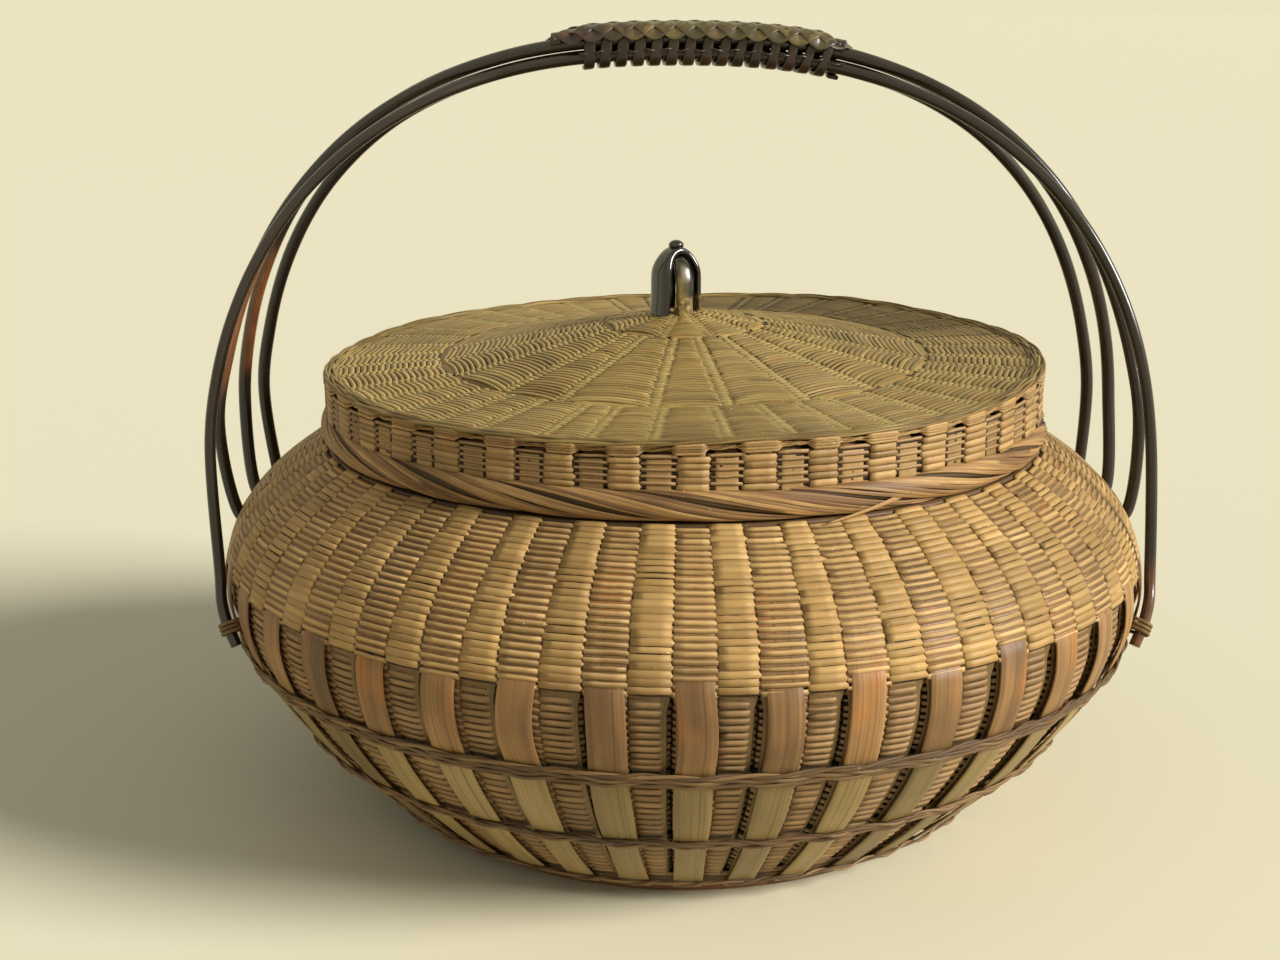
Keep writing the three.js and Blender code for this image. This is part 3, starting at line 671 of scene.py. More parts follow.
def makeInnerStakes():
    s = innerStakeSettings
    places = spread(wallLine(*s["heights"]), np.linspace(0, 1, s["steps"]), 0)
    r, z = places["at"].T
    depth = weaveDepth["wall"] + (weaveDepth["shoulder"] - weaveDepth["wall"]) * step(z, *s["thins"])
    angle, width = wallColumns.middles(places["at"])
    odd = np.arange(len(angle))[:, None] % 2
    # gaps at the even columns' left edges, below the shoulder
    apart = step(z, *s["closes"])
    wide = width * r * (1 - 0.07 * apart) - 0.1 - s["gap"] * apart
    angle = angle + (1 - 2 * odd) * s["gap"] * apart / r
    mesh = stakesAlong("innerStakes", places, angle, wide, s["thickness"], -depth,
                       odd=0.3 + 0.7 * odd[..., None])
    addPiece(mesh, stripBamboo, "basket")


makeInnerStakes()


# strands that go round the basket: lift and rise are how far out and up from their places
def ringStrands(places, angle, lift, rise, wide, thick, section=roundSection(6)):
    out = lift[..., None] + section[:, 1] * thick / 2
    up = rise[..., None] + section[:, 0] * np.asarray(wide)[..., None] / 2
    at, outward, along = (places[key][:, None, None, :] for key in ("at", "outward", "along"))
    r = at[..., 0] + outward[..., 0] * out + along[..., 0] * up
    z = at[..., 1] + outward[..., 1] * out + along[..., 1] * up
    return onRing(r, z, angle[None, :, None])


ringAngle = np.linspace(-math.pi, math.pi, 480, endpoint=False)


# twined rows: each is two strands that cross between the strips
def twined(name, places, twists, **changes):
    look = {**bandSettings, **changes}
    lift, rise, crest, owner = [], [], [], []
    for number, twist in enumerate(twists):
        wave = ringWave(ringAngle, look["wave"], (3, 7, 11))
        for half in (0, math.pi):
            phase = twist * ringAngle + half + 0.6 * np.sin(7 * ringAngle)
            dip = (1 - np.cos(look["dips"] * ringAngle + wave)) / 2
            lift.append(look["lift"] + look["swing"] * np.cos(phase) - look["dip"] * dip)
            rise.append(look["rise"] * np.sin(phase) + wave)
            crest.append(1 - look["shade"] * dip)
            owner.append(number)
    chosen = {key: places[key][owner] for key in ("at", "outward", "along")}
    points = ringStrands(chosen, ringAngle, np.array(lift), np.array(rise), look["wide"],
                         look["thick"])
    tone = splintTones(len(lift), ringAngle, 6)
    return laid(name, points, True, tone=tone[..., None], crest=np.array(crest)[..., None])


# twined bands round the wall

bandSettings = {"line": 1.5, "wide": 1.35, "thick": 0.85, "lift": 0.95, "swing": 0.35, "rise": 0.42,
                "dip": 0.7, "dips": 40, "shade": 0.4, "wave": 0.35}
bands = {"bandBottom": ("twined_band_bottom", 8.8, 1), "bandLower": ("twined_band_lower", 32.9, 2),
         "bandUpper": ("twined_band_upper", 60.1, 3)}


def makeBand(name, node, middle, lines):
    levels = middle + (np.arange(lines) - (lines - 1) / 2) * bandSettings["line"]
    reach = 4
    line = wallLine(middle - reach, middle + reach)
    shares = (levels - middle + reach) / (2 * reach)
    twists = 40 * (1 - 2 * (np.arange(lines) % 2))
    mesh = twined(name, spread(line, shares, 0), twists)
    addPiece(mesh, twinedCane, "basket", node)


twinedCane = splintFinish("twinedCane", "twined_cane", {
    **plainLook, "grain": 60, "dark": "#20140c",
    "stops": [(0.1, "#3a2917"), (0.4, "#5f482c"), (0.7, "#856840"), (0.95, "#b3905f")]})
for name, (node, middle, lines) in bands.items():
    makeBand(name, node, middle, lines)


# handle: the same lines as in the solid model

rodSettings = {"radius": 2.1, "spring": 98.5, "bundle": 244.3, "power": 2.43, "shift": -1.5,
               "step": 2.25, "gripEnd": 56.9, "footAngle": 23, "footHeight": 65.95,
               "entryHeight": 96, "entryShare": 0.6, "entryDrop": (0, 3.2), "entrySink": (0, 3.0),
               "legTop": 85, "slims": (50, 80),
               "wornHigh": (125, 145, 195, 170), "wornLow": (104, 82)}
rodPairs = {"outer": {"inset": 3.6, "fan": 41.5, "early": 2.2, "late": 1, "layer": -1,
                      "slim": 0.84, "wornLeft": 0.16, "wornRight": 0.6},
            "inner": {"inset": 1.5, "fan": 23.5, "early": 1, "late": 1.8, "layer": 1,
                      "slim": 0.92, "wornLeft": 0.5, "wornRight": 0.1}}
rodSides = {"front": -1, "back": 1}


# a smooth line through points, with the given number of parts between two of them
def smoothLine(points, parts):
    points = np.asarray(points, float)
    ends = np.concatenate([[2 * points[0] - points[1]], points, [2 * points[-1] - points[-2]]])
    share = (np.arange(parts) / parts)[:, None]
    line = []
    for a, b, c, d in zip(ends, ends[1:], ends[2:], ends[3:]):
        before, here, after = (max(math.dist(*p), 1e-4) ** 0.5 for p in ((a, b), (b, c), (c, d)))
        leave = ((b - a) / before - (c - a) / (before + here) + (c - b) / here) * here
        arrive = ((c - b) / here - (d - b) / (here + after) + (d - c) / after) * here
        bend = 2 * b - 2 * c + leave + arrive
        line.append(b + share * leave + share ** 2 * (3 * (c - b) - 2 * leave - arrive)
                    + share ** 3 * bend)
    return np.concatenate([*line, points[-1:]])


# unit vectors across and above a line, turning as little as they can
def carried(line, up):
    ahead = np.gradient(line, axis=0)
    ahead /= np.linalg.norm(ahead, axis=1)[:, None]
    ups = []
    for direction in ahead:
        up = up - direction * up.dot(direction)
        up = up / np.linalg.norm(up)
        ups.append(up)
    return np.cross(ahead, ups), np.array(ups)


def rodPoints(pair):
    s, rod = rodSettings, rodPairs[pair]
    reach = outline["bellyRadius"] - rod["inset"]
    rise = s["bundle"] + rod["layer"] * s["step"] - s["spring"]
    fanStart = math.asin((s["gripEnd"] / reach) ** (s["power"] / 2))
    angle = np.concatenate([np.linspace(0, fanStart, 4),
                            np.linspace(fanStart, math.pi / 2, 10)[1:-1]])
    past = np.clip((angle - fanStart) / (math.pi / 2 - fanStart), 0, 1)
    fan = 1 - (1 - past ** rod["late"]) ** rod["early"]
    arch = np.stack([reach * np.sin(angle) ** (2 / s["power"]),
                     s["step"] + (rod["fan"] - s["step"]) * fan,
                     s["spring"] + rise * np.cos(angle) ** (2 / s["power"])], 1)
    if pair == "outer":
        z = np.linspace(s["legTop"], s["footHeight"], 4)
        hug = wallRadius(z) / math.cos(math.pi / 40) + s["radius"] + 0.3
        share = (1 + np.linspace(0, 1, 4)) / 2
        y = rod["fan"] + share * (hug[-1] * math.sin(math.radians(s["footAngle"])) - rod["fan"])
    else:
        z = s["entryHeight"] - np.array(s["entryDrop"])
        hug = wallRadius(s["entryHeight"]) - np.array(s["entrySink"])
        y = np.full(2, rod["fan"] * s["entryShare"])
    leg = np.stack([np.sqrt(hug ** 2 - y ** 2), y, z], 1)
    left = np.concatenate([(arch[1:] * (-1, 1, 1)) + (s["shift"], 0, 0), leg * (-1, 1, 1)])
    return np.concatenate([left[::-1], arch + (s["shift"], 0, 0), leg])


def rodLine(pair, side):
    line = smoothLine(rodPoints(pair), 14)
    line[:, 1] = np.maximum(line[:, 1], rodSettings["step"])
    return line * (1, side, 1)


def rodFinish(name, slot):
    made = Finish(name, slot, **{"Coat Weight": 0.5, "Coat Roughness": 0.12})
    grain = made.noise(made.sheet(), (60, 9, 1), 3, made.mark("tone") * 30)
    patch = made.noise(made.place(), (30, 30, 14), 3)
    shade = grain * 0.5 + patch * 0.5
    dark = made.ramp(shade, [(0.3, "#120c08"), (0.6, "#241911"), (0.8, "#3a291a")])
    brown = made.ramp(shade, [(0.3, "#3d2112"), (0.55, "#6d4223"), (0.8, "#96683a")])
    wearAndShade = made.band(made.mark("crest") + patch * 0.5, 0.45, 0.85)
    return made.finished(made.mix(wearAndShade, dark, brown), 0.17 + grain * 0.2, grain, 0.25, 0.4 * mm)


handleRod = rodFinish("handleRod", "handle_rod")


def makeRods():
    s = rodSettings
    for sideName, side in rodSides.items():
        for pair, rod in rodPairs.items():
            line = rodLine(pair, side)
            x, z = line[:, 0], line[:, 2]
            slim = 1 - (1 - rod["slim"]) * step(abs(x), *s["slims"]) * (side < 0)
            size = 2 * s["radius"] * slim
            size = size * (1 + 0.02 * np.sin(np.arange(len(line)) * 0.21 + side))
            tube = line, *carried(line, np.array([0, 0, 1.0]))
            points = tubesOf([tube], size, size, roundSection(14))
            high = step(z, *s["wornHigh"][:2]) * step(z, *s["wornHigh"][2:])
            wornRight = rod["wornRight"] if side < 0 else rodPairs["inner"]["wornRight"]
            wearAndShade = np.where(x < 0, high * rod["wornLeft"], step(z, *s["wornLow"]) * wornRight)
            crest = wearAndShade[None, :, None]
            name = f"rod{sideName.title()}{pair.title()}"
            mesh = laid(name, points, False, tone=chance.uniform(0, 1), crest=crest)
            addPiece(mesh, handleRod, "basket", f"handle_rod_{sideName}_{pair}")


makeRods()


# lashings at the outer rods' feet: turns of thin cane over the rod and into the weave

tieSettings = {"rise": 5, "turns": 3, "step": 1.35, "wide": 1.2, "thick": 0.8,
               "legs": [(0.7, -3.4), (0.1, -1.2)], "slant": 0.3}


def makeTies():
    s = tieSettings
    for sideName, side in rodSides.items():
        line = rodLine("outer", side)
        for wayName, way in (("left", -1), ("right", 1)):
            near = np.flatnonzero(line[:, 0] * way > 100)
            height = rodSettings["footHeight"] + s["rise"]
            place = near[np.argmin(abs(line[near, 2] - height))]
            at = line[place]
            down = (line[place + way] - at) / math.dist(line[place + way], at)
            out = np.array([at[0], at[1], 0]) / math.hypot(at[0], at[1])
            across = np.cross(out, down)
            across /= np.linalg.norm(across)
            out = np.cross(down, across)
            angle = np.linspace(math.pi, 0, 13)
            reach = rodSettings["radius"] + s["thick"] / 2 + 0.05
            leg = np.array(s["legs"]) + (reach, 0)
            bend = np.stack([reach * np.cos(angle), reach * np.sin(angle)], 1)
            bend = np.concatenate([leg * (-1, 1), bend, leg[::-1]])
            slant = np.linspace(-s["slant"], s["slant"], len(bend))
            tubes = []
            for turn in range(s["turns"]):
                slide = (turn - (s["turns"] - 1) / 2) * s["step"] + slant
                loop = at + bend[:, :1] * across + bend[:, 1:] * out + slide[:, None] * down
                tubes.append((loop, *carried(loop, out)))
            points = tubesOf(tubes, s["wide"], s["thick"], roundSection(8))
            name = f"tie{wayName.title()}{sideName.title()}"
            tone = chance.uniform(0.3, 1, (s["turns"], 1, 1))
            mesh = laid(name, points, False, tone=tone, crest=1.0)
            addPiece(mesh, tieCane, "basket", f"rod_tie_{wayName}_{sideName}")


tieCane = splintFinish("tieCane", "grip_cane", {
    **plainLook, "grain": 4, "dark": "#2e2212", "stain": 0.2,
    "stops": [(0.1, "#3f2e19"), (0.45, "#664d2b"), (0.75, "#86693c"), (0.95, "#a68a56")]})
makeTies()


# grip: flat cane wound round the four rods, and a plait along the top

gripSettings = {"gap": 0.3, "shift": 8.4, "length": 79, "turns": 15, "wide": 3.3, "thick": 1.5,
                "steps": 28, "wobbles": [(0.12, 71), (0.1, 173)], "widthWave": (0.12, 97),
                "cordAngle": 1.75, "cordSize": 0.7, "cordEnd": 2, "cordDip": 0.45,
                "plaitShift": 4.4, "plaitLength": 94, "plaitWide": 20.5, "plaitStrand": 4.1,
                "plaitThick": 0.6, "plaitRepeat": 37.8, "plaitStrands": 6, "plaitOver": 0.26,
                "plaitRadius": 8.0, "endWidth": 0.4, "endTaper": 9, "turnsBegin": (4, 12),
                "endDip": 1.6, "endBands": 2, "bandPlace": 2.6, "bandStep": 1.5, "bandReach": 1.05,
                "bandHeight": 1.25, "bandTuck": 1.9, "bandWide": 1.6, "bandThick": 1.0}


# the bundle's middle at x, with the ways along and up
def bundleAt(x):
    s = rodSettings
    reach = outline["bellyRadius"] - (rodPairs["outer"]["inset"] + rodPairs["inner"]["inset"]) / 2

    def height(at):
        share = (np.abs(at - s["shift"]) / reach) ** s["power"]
        return s["spring"] + (s["bundle"] - s["spring"]) * (1 - share) ** (1 / s["power"])

    slope = (height(x + 0.01) - height(x - 0.01)) / 0.02
    size = np.hypot(1, slope)
    along = np.stack([1 / size, 0 * x, slope / size], -1)
    up = np.stack([-slope / size, 0 * x, 1 / size], -1)
    return np.stack([x, 0 * x, height(x)], -1), along, up


def bundleSurface(angle):
    flat = rodSettings["step"] + rodSettings["radius"]
    corner = rodSettings["step"] * math.sqrt(2) + rodSettings["radius"]
    return flat + gripSettings["gap"] + (corner - flat) * np.sin(2 * angle) ** 2


def gripFinish(name, slot):
    made = Finish(name, slot, **{"Coat Weight": 0.35, "Coat Roughness": 0.2})
    tone = made.mark("tone")
    grain = made.noise(made.sheet(), (40, 6, 1), 3, tone * 30)
    patch = made.noise(made.place(), (60, 60, 60), 3)
    across = made.axis(0)
    middle = made.band(across, -0.035, 0.0) * made.band(across, 0.075, 0.03)
    shade = grain * 0.5 + patch * 0.5 + tone * 0.24 - 0.12
    dark = made.ramp(shade, [(0.3, "#1a100a"), (0.55, "#382315"), (0.8, "#744c2c")])
    olive = made.ramp(shade, [(0.3, "#2b2412"), (0.55, "#544826"), (0.8, "#85733f")])
    colour = made.mix(middle * made.mark("crest"), dark, olive)
    return made.finished(colour, 0.26 + grain * 0.3, grain, 0.3, 0.4 * mm)


gripCane = gripFinish("gripCane", "grip_cane")


# a line round the bundle: x, the angle from the top, and the height above the rods
def bundleLine(x, angle, height):
    middle, along, up = bundleAt(x)
    out = up * np.cos(angle)[..., None] + np.sin(angle)[..., None] * (0, 1.0, 0)
    return middle + out * (bundleSurface(angle) + height)[..., None], along, out


def makeGripWrap():
    s = gripSettings
    share = np.linspace(0, 1, s["turns"] * s["steps"] + 1)
    wobble = sum(size * np.sin(share * pace) for size, pace in s["wobbles"])
    x = s["shift"] + (share - 0.5) * s["length"] + wobble
    angle = fullTurn * s["turns"] * share + math.pi
    waveSize, wavePace = s["widthWave"]
    wide = s["wide"] * (1 + waveSize * np.sin(share * wavePace))
    points = tubesOf([bundleLine(x, angle, s["thick"] / 2)], wide, s["thick"], splintSection)
    mesh = laid("gripWrap", points, False, tone=0.1, crest=0.1)
    addPiece(mesh, gripCane, "basket", "grip_wrap")

    # thin cords along both sides, over the turns and down between them
    reach = s["length"] / 2 + s["cordEnd"]
    x = np.linspace(s["shift"] - reach, s["shift"] + reach, 240)
    turn = np.cos(fullTurn * s["turns"] * (x - s["shift"]) / s["length"] - s["cordAngle"] + math.pi)
    tubes = []
    for side in (-1, 1):
        angle = side * s["cordAngle"] + 0.05 * np.sin(x * 0.9)
        height = s["thick"] + s["cordSize"] / 2 - s["cordDip"] * (1 - side * turn)
        line, along, out = bundleLine(x, angle, height)
        tubes.append((line, np.cross(along, out), out))
    points = tubesOf(tubes, s["cordSize"], s["cordSize"], roundSection(6))
    mesh = laid("gripCords", points, False, tone=0.2, crest=0.2)
    addPiece(mesh, gripCane, "basket")


def makeGripPlait():
    s = gripSettings
    x = s["plaitShift"] + np.linspace(-0.5, 0.5, 320) * s["plaitLength"]
    ends = np.minimum(x - x[0], x[-1] - x)
    narrow = s["endWidth"] + (1 - s["endWidth"]) * step(ends, 0, s["endTaper"])
    tubes = []
    for strand in range(s["plaitStrands"]):
        phase = fullTurn * (x / s["plaitRepeat"] + strand / s["plaitStrands"])
        zigzag = np.arcsin(np.sin(phase) * 0.96) * 2 / math.pi * narrow
        over = s["plaitOver"] * np.sin((s["plaitStrands"] - 1) * phase)
        angle = zigzag * s["plaitWide"] / 2 / s["plaitRadius"]
        onTurns = step(ends, *s["turnsBegin"])
        rest = (s["thick"] + 0.9) * onTurns + 0.7 * (1 - onTurns)
        rest = rest - s["endDip"] * (1 - step(ends, 0, 3.5))
        line, along, out = bundleLine(x, angle, rest + over)
        ahead = np.gradient(line, axis=0)
        across = np.cross(ahead / np.linalg.norm(ahead, axis=1)[:, None], out)
        across /= np.linalg.norm(across, axis=1)[:, None]
        tubes.append((line, across, out))
    points = tubesOf(tubes, s["plaitStrand"], s["plaitThick"], splintSection)
    tone = 0.25 + 0.5 * (np.arange(len(tubes)) % 2)[:, None, None]
    mesh = laid("gripPlait", points, False, tone=tone, crest=1.0)
    addPiece(mesh, gripCane, "basket", "grip_braid")

    # bands over the plait's ends, tucked between the rods
    share = np.linspace(-1, 1, 33)
    tubes = []
    for side in (-1, 1):
        for band in range(s["endBands"]):
            place = s["plaitLength"] / 2 - s["bandPlace"] - band * s["bandStep"]
            x = s["plaitShift"] + side * place + 0.5 * share
            height = s["bandHeight"] - s["bandTuck"] * abs(share) ** 4
            tubes.append(bundleLine(x, s["bandReach"] * share, height))
    points = tubesOf(tubes, s["bandWide"], s["bandThick"], splintSection)
    mesh = laid("gripEnds", points, False, tone=0.3, crest=0.1)
    addPiece(mesh, gripCane, "basket")


makeGripWrap()
makeGripPlait()


# bottom: hoop, twined rings on the strips, and the woven mat inside

footSettings = {"strands": [84.2, 87.4, 90.6], "wide": 3.1, "thick": 2.9,
                "rings": [7, 10, 13, 34, 36, 58, 60, 78, 80], "ringHeight": 2.6,
                "corner": [(89.4, 3.4), (91.4, 3.4)], "cornerHeights": (4.6, 9.8), "cornerDepth": 2.0}


# round strands of one thickness at the given places, and their small unevenness
def hoops(name, places, wide, thick, sides, rough=0.05):
    count = len(places["at"])
    wave = np.array([ringWave(ringAngle, rough, (5, 9, 14)) for _ in range(count)])
    points = ringStrands(places, ringAngle, wave, wave[::-1], wide, thick, roundSection(sides))
    tone = splintTones(count, ringAngle, 3)
    return laid(name, points, True, tone=tone[..., None], crest=1.0)


# places given one by one: radius, height, and the way out as r, z
def placesAt(radii, heights, outward):
    at = np.stack(np.broadcast_arrays(np.asarray(radii, float), heights), 1)
    outward = np.broadcast_to(np.asarray(outward, float), at.shape)
    return {"at": at, "outward": outward, "along": np.stack([-outward[:, 1], outward[:, 0]], 1)}


def makeFoot():
    s = footSettings
    places = placesAt(s["strands"], s["thick"] / 2 + 0.05, (0, -1))
    mesh = hoops("footHoop", places, s["wide"], s["thick"], 10)
    addPiece(mesh, hoopBamboo, "basket", "foot_hoop")
    flat = {"lift": 0, "dip": 0, "wave": 0.2, "thick": 0.8}
    rings = placesAt(s["rings"], s["ringHeight"], (0, -1))
    mesh = twined("baseRings", rings, [20] * 3 + [40, -40] * 3, **flat, swing=0.4)
    addPiece(mesh, twinedCane, "basket")
    corner = np.concatenate([s["corner"], wallLine(*s["cornerHeights"])])
    inside = spread(corner, np.linspace(0, 1, 12), s["cornerDepth"])
    mesh = twined("cornerWefts", inside, [40, -40] * 6, **flat, swing=0.3, wide=1.2)
    addPiece(mesh, twinedCane, "basket")


matSettings = {"line": [(93.5, 6.5), (4.5, 6.5)], "rows": 44, "depth": 0.85,
               "disc": 92, "discThickness": 0.8, "discHeight": 4.5}


def makeMat():
    s = matSettings
    columns = SpokeColumns(40, 3.5, ([0, 0.25, 0.5, 0.75], [0, 0.5]), 0.1)
    look = {**crownLook, "ramp": (1.2, 1.2), "wave": 0.2, "sag": 1, "bulge": (0, 0)}
    mesh = woven("baseMat", rowsOf(s["line"], s["rows"], s["depth"]), columns, look)
    addPiece(mesh, wallWeft, "basket", "base_mat")
    bm = bmesh.new()
    bmesh.ops.create_cone(bm, cap_ends=True, segments=96, radius1=s["disc"] * mm,
                          radius2=s["disc"] * mm, depth=s["discThickness"] * mm)
    bmesh.ops.translate(bm, verts=bm.verts, vec=(0, 0, s["discHeight"] * mm))
    addPiece(meshOf("baseDisc", bm), wallWeft, "basket")


# the mouth hoop's own brown, darkened with painted shade from the border above it
hoopShadeBamboo = splintFinish("hoopShadeBamboo", "strip_bamboo", {
    **plainLook, "grain": 6, "dark": "#140d07", "stain": 0.4, "warm": "#3a2415",
    "stops": [(0.1, "#332313"), (0.45, "#543c22"), (0.75, "#725431"), (0.95, "#8f6d42")]})
hoopBamboo = splintFinish("hoopBamboo", "strip_bamboo", {
    **plainLook, "grain": 6, "dark": "#24170d", "stain": 0.4,
    "stops": [(0.1, "#3f2917"), (0.45, "#67452a"), (0.75, "#8a6038"), (0.95, "#a97c4c")]})
makeFoot()
makeMat()


# mouth: hoop under the border, and the collar that the lid slides over

mouthSettings = {"hoopRadii": [112.9, 115.2], "hoopHeight": 120.5, "hoopWide": 2.4,
                 "hoopThick": 2.2, "collar": 111.0, "depth": 1.0, "low": 122.2,
                 "high": 138.6, "rows": 13, "rimRadius": 109.9, "rimHeights": (139.55, 140.45),
                 "rimTwists": [60, -60], "stakeHeights": (120.2, 139.2), "stakeWidth": 0.75,
                 "parts": [0, 0.12, 0.5, 0.88]}


def makeMouth():
    s = mouthSettings
    places = placesAt(s["hoopRadii"], s["hoopHeight"], (0, 1))
    mesh = hoops("mouthHoop", places, s["hoopWide"], s["hoopThick"], 8)
    addPiece(mesh, hoopShadeBamboo, "basket", "mouth_hoop")
    rows = rowsOf([(s["collar"], s["low"]), (s["collar"], s["high"])], s["rows"], s["depth"])
    columns = Columns(80, 0.5, (s["parts"], s["parts"]), 0.004)
    look = {**shoulderLook, "lift": (0.35, 0.4), "wave": 0.1}
    mesh = woven("mouthCollar", rows, columns, look)
    addPiece(mesh, shoulderWeft, "basket", "mouth_collar")
    rim = placesAt(s["rimRadius"], s["rimHeights"], (1, 0))
    mesh = twined("collarRim", rim, s["rimTwists"], lift=0, dip=0, wave=0.1, swing=0.45, rise=0.3,
                  wide=0.9, thick=0.9)
    addPiece(mesh, twinedCane, "basket", "collar_rim")
    line = [(s["collar"], height) for height in s["stakeHeights"]]
    places = spread(line, np.linspace(0, 1, 8), s["depth"])
    angle, width = columns.middles(places["at"])
    wide = width * s["collar"] * s["stakeWidth"]
    mesh = stakesAlong("collarStakes", places, angle, wide, thinStake)
    addPiece(mesh, stripBamboo, "basket")


makeMouth()
print("body made")


# lid crown: a cone inside the outer seam and a nearly flat brim outside it

lidSettings = {"radius": 116.6, "rim": 145.2, "rise": 16.6, "brimRise": 1.6, "seam": 79,
               "depth": 0.8, "backBrimDark": 0.75, "spokeWidth": 0.8,
               "seams": [((80.4, 78.2), 0.35, 1.5), ((27.4, 25.6), 0.5, 1.4)], "seamTwists": [40, 20]}
crownRings = {
    "lidCentre": ("lid_centre", 25.8, 4.5, 22, 20, 2.4, ([0, 0.2, 0.5, 0.8], [0, 0.5]), 0.1),
    "lidInnerRing": ("lid_inner_ring", 78.7, 27.2, 56, 40, 3.5,
                     ([0, 0.04, 0.12, 0.25, 0.42, 0.58, 0.75, 0.88, 0.96], [0, 0.25, 0.5, 0.75]),
                     0.1),
    "lidOuterRing": ("lid_outer_ring", 112.0, 79.6, 34, 80, 3.3,
                     ([0, 0.12, 0.35, 0.65, 0.88], [0, 0.33, 0.66]), 0.14),
}


def crownLine(outer, inner):
    s = lidSettings
    r = np.linspace(outer, inner, 120)
    cone = s["rim"] + s["rise"] + (s["brimRise"] - s["rise"]) * r / s["seam"]
    brim = s["rim"] + s["brimRise"] * (s["radius"] - r) / (s["radius"] - s["seam"])
    return np.stack([r, np.where(r < s["seam"], cone, brim)], 1)


def makeCrown():
    for name, (node, outer, inner, count, columnCount, ridge, parts, jitter) in crownRings.items():
        columns = SpokeColumns(columnCount, ridge, parts, jitter)
        line = crownLine(outer, inner)
        look = {**crownLook, "backBrimDark": lidSettings["backBrimDark"] * (outer > 100)}
        mesh = woven(name, rowsOf(line, count, lidSettings["depth"]), columns, look)
        addPiece(mesh, lidWeft, "lid", node)

        places = spread(crownLine(outer + 1, inner - 1), np.linspace(0, 1, 14), lidSettings["depth"])
        angle, width = columns.middles(places["at"])
        wide = width * places["at"][:, 0] * lidSettings["spokeWidth"]
        mesh = stakesAlong(name.replace("lid", "spokes"), places, angle, wide, thinStake)
        addPiece(mesh, lidWeft, "lid")


def makeSeams():
    s = lidSettings
    seams = [spread(crownLine(*ends), [share], depth) for ends, share, depth in s["seams"]]
    places = {key: np.concatenate([seam[key] for seam in seams]) for key in ("at", "along", "outward")}
    mesh = twined("lidSeams", places, s["seamTwists"], lift=0.1, dip=1.3, shade=0.75, wave=0.3,
                  swing=0.3, rise=0.35, wide=0.8, thick=0.7)
    addPiece(mesh, lidCane, "lid")


lidCane = splintFinish("lidCane", "lid_bamboo", {
    **plainLook, "grain": 60, "dark": "#2c2212",
    "stops": [(0.1, "#4a3a1e"), (0.45, "#7f6837"), (0.7, "#a58c50"), (0.95, "#d0b878")]})
makeCrown()
makeSeams()


# lid edge: rows that lie in front of the even columns and draw together in the odd ones

edgeSettings = {"rows": [142.3, 143.1, 143.9, 144.6], "radius": 116.1, "wide": 0.95, "thick": 0.8,
                "draw": 0.28, "depth": 1.6, "steps": 960, "gap": (0.42, 0.62), "twist": 0.25,
                "fine": 0.03, "wave": 0.08, "rimOutward": (0.3, 0.954), "rimTwists": [20, -20, 20, -20],
                "rims": [(115.6, 145.15), (114.3, 145.25), (113.1, 145.2), (112.1, 145.0)]}


def makeEdge():
    s = edgeSettings
    angle = np.linspace(-math.pi, math.pi, s["steps"], endpoint=False)
    rows = np.array(s["rows"])
    middle = rows.mean()
    places = placesAt([s["radius"]] * len(rows), middle, (1, 0))
    column = angle / (fullTurn / 40) + ringWave(angle, s["wave"], (7, 13, 19))
    fromStrip = abs((column + 0.5) % 1 - 0.5) * 2
    gap = step(fromStrip, *s["gap"])
    weave = np.arange(len(rows))[:, None] * math.pi + angle * 80
    rise = (rows - middle)[:, None] * (1 - (1 - s["draw"]) * gap)
    rise = rise + s["twist"] * gap * np.sin(weave) + chance.normal(0, s["fine"], rise.shape)
    lift = -s["depth"] * gap + s["twist"] * gap * np.cos(weave)
    lift = lift + chance.normal(0, s["fine"], rise.shape)
    points = ringStrands(places, angle, lift, rise, s["wide"] * (1 - 0.45 * gap), s["thick"])
    tone = splintTones(len(rows), angle, 9)
    mesh = laid("lidEdge", points, True, tone=tone[..., None], crest=(1 - 0.4 * gap)[:, None],
                odd=0)
    addPiece(mesh, lidWallWeft, "lid", "lid_edge_roll")
    radii, heights = zip(*s["rims"])
    rims = placesAt(radii, heights, s["rimOutward"])
    mesh = twined("lidRims", rims, s["rimTwists"], lift=0, dip=0, wave=0.15, swing=0.35, rise=0.35,
                  wide=0.95, thick=0.75)
    addPiece(mesh, lidCane, "lid")


makeEdge()


# lid wall and the hoop inside it

lidWallSettings = {"radius": 116.6, "low": 131.2, "high": 142.0, "rows": 10, "depth": 1.15,
                   "stakeTop": 144.6, "stakeWidth": 0.7, "tuck": -3.5, "tucks": (140.6, 141.8),
                   "hoopRadius": 113.0, "hoopHeights": (132.8, 139.9), "hoopRows": 3,
                   "hoopWide": 2.5, "hoopThick": 1.7}


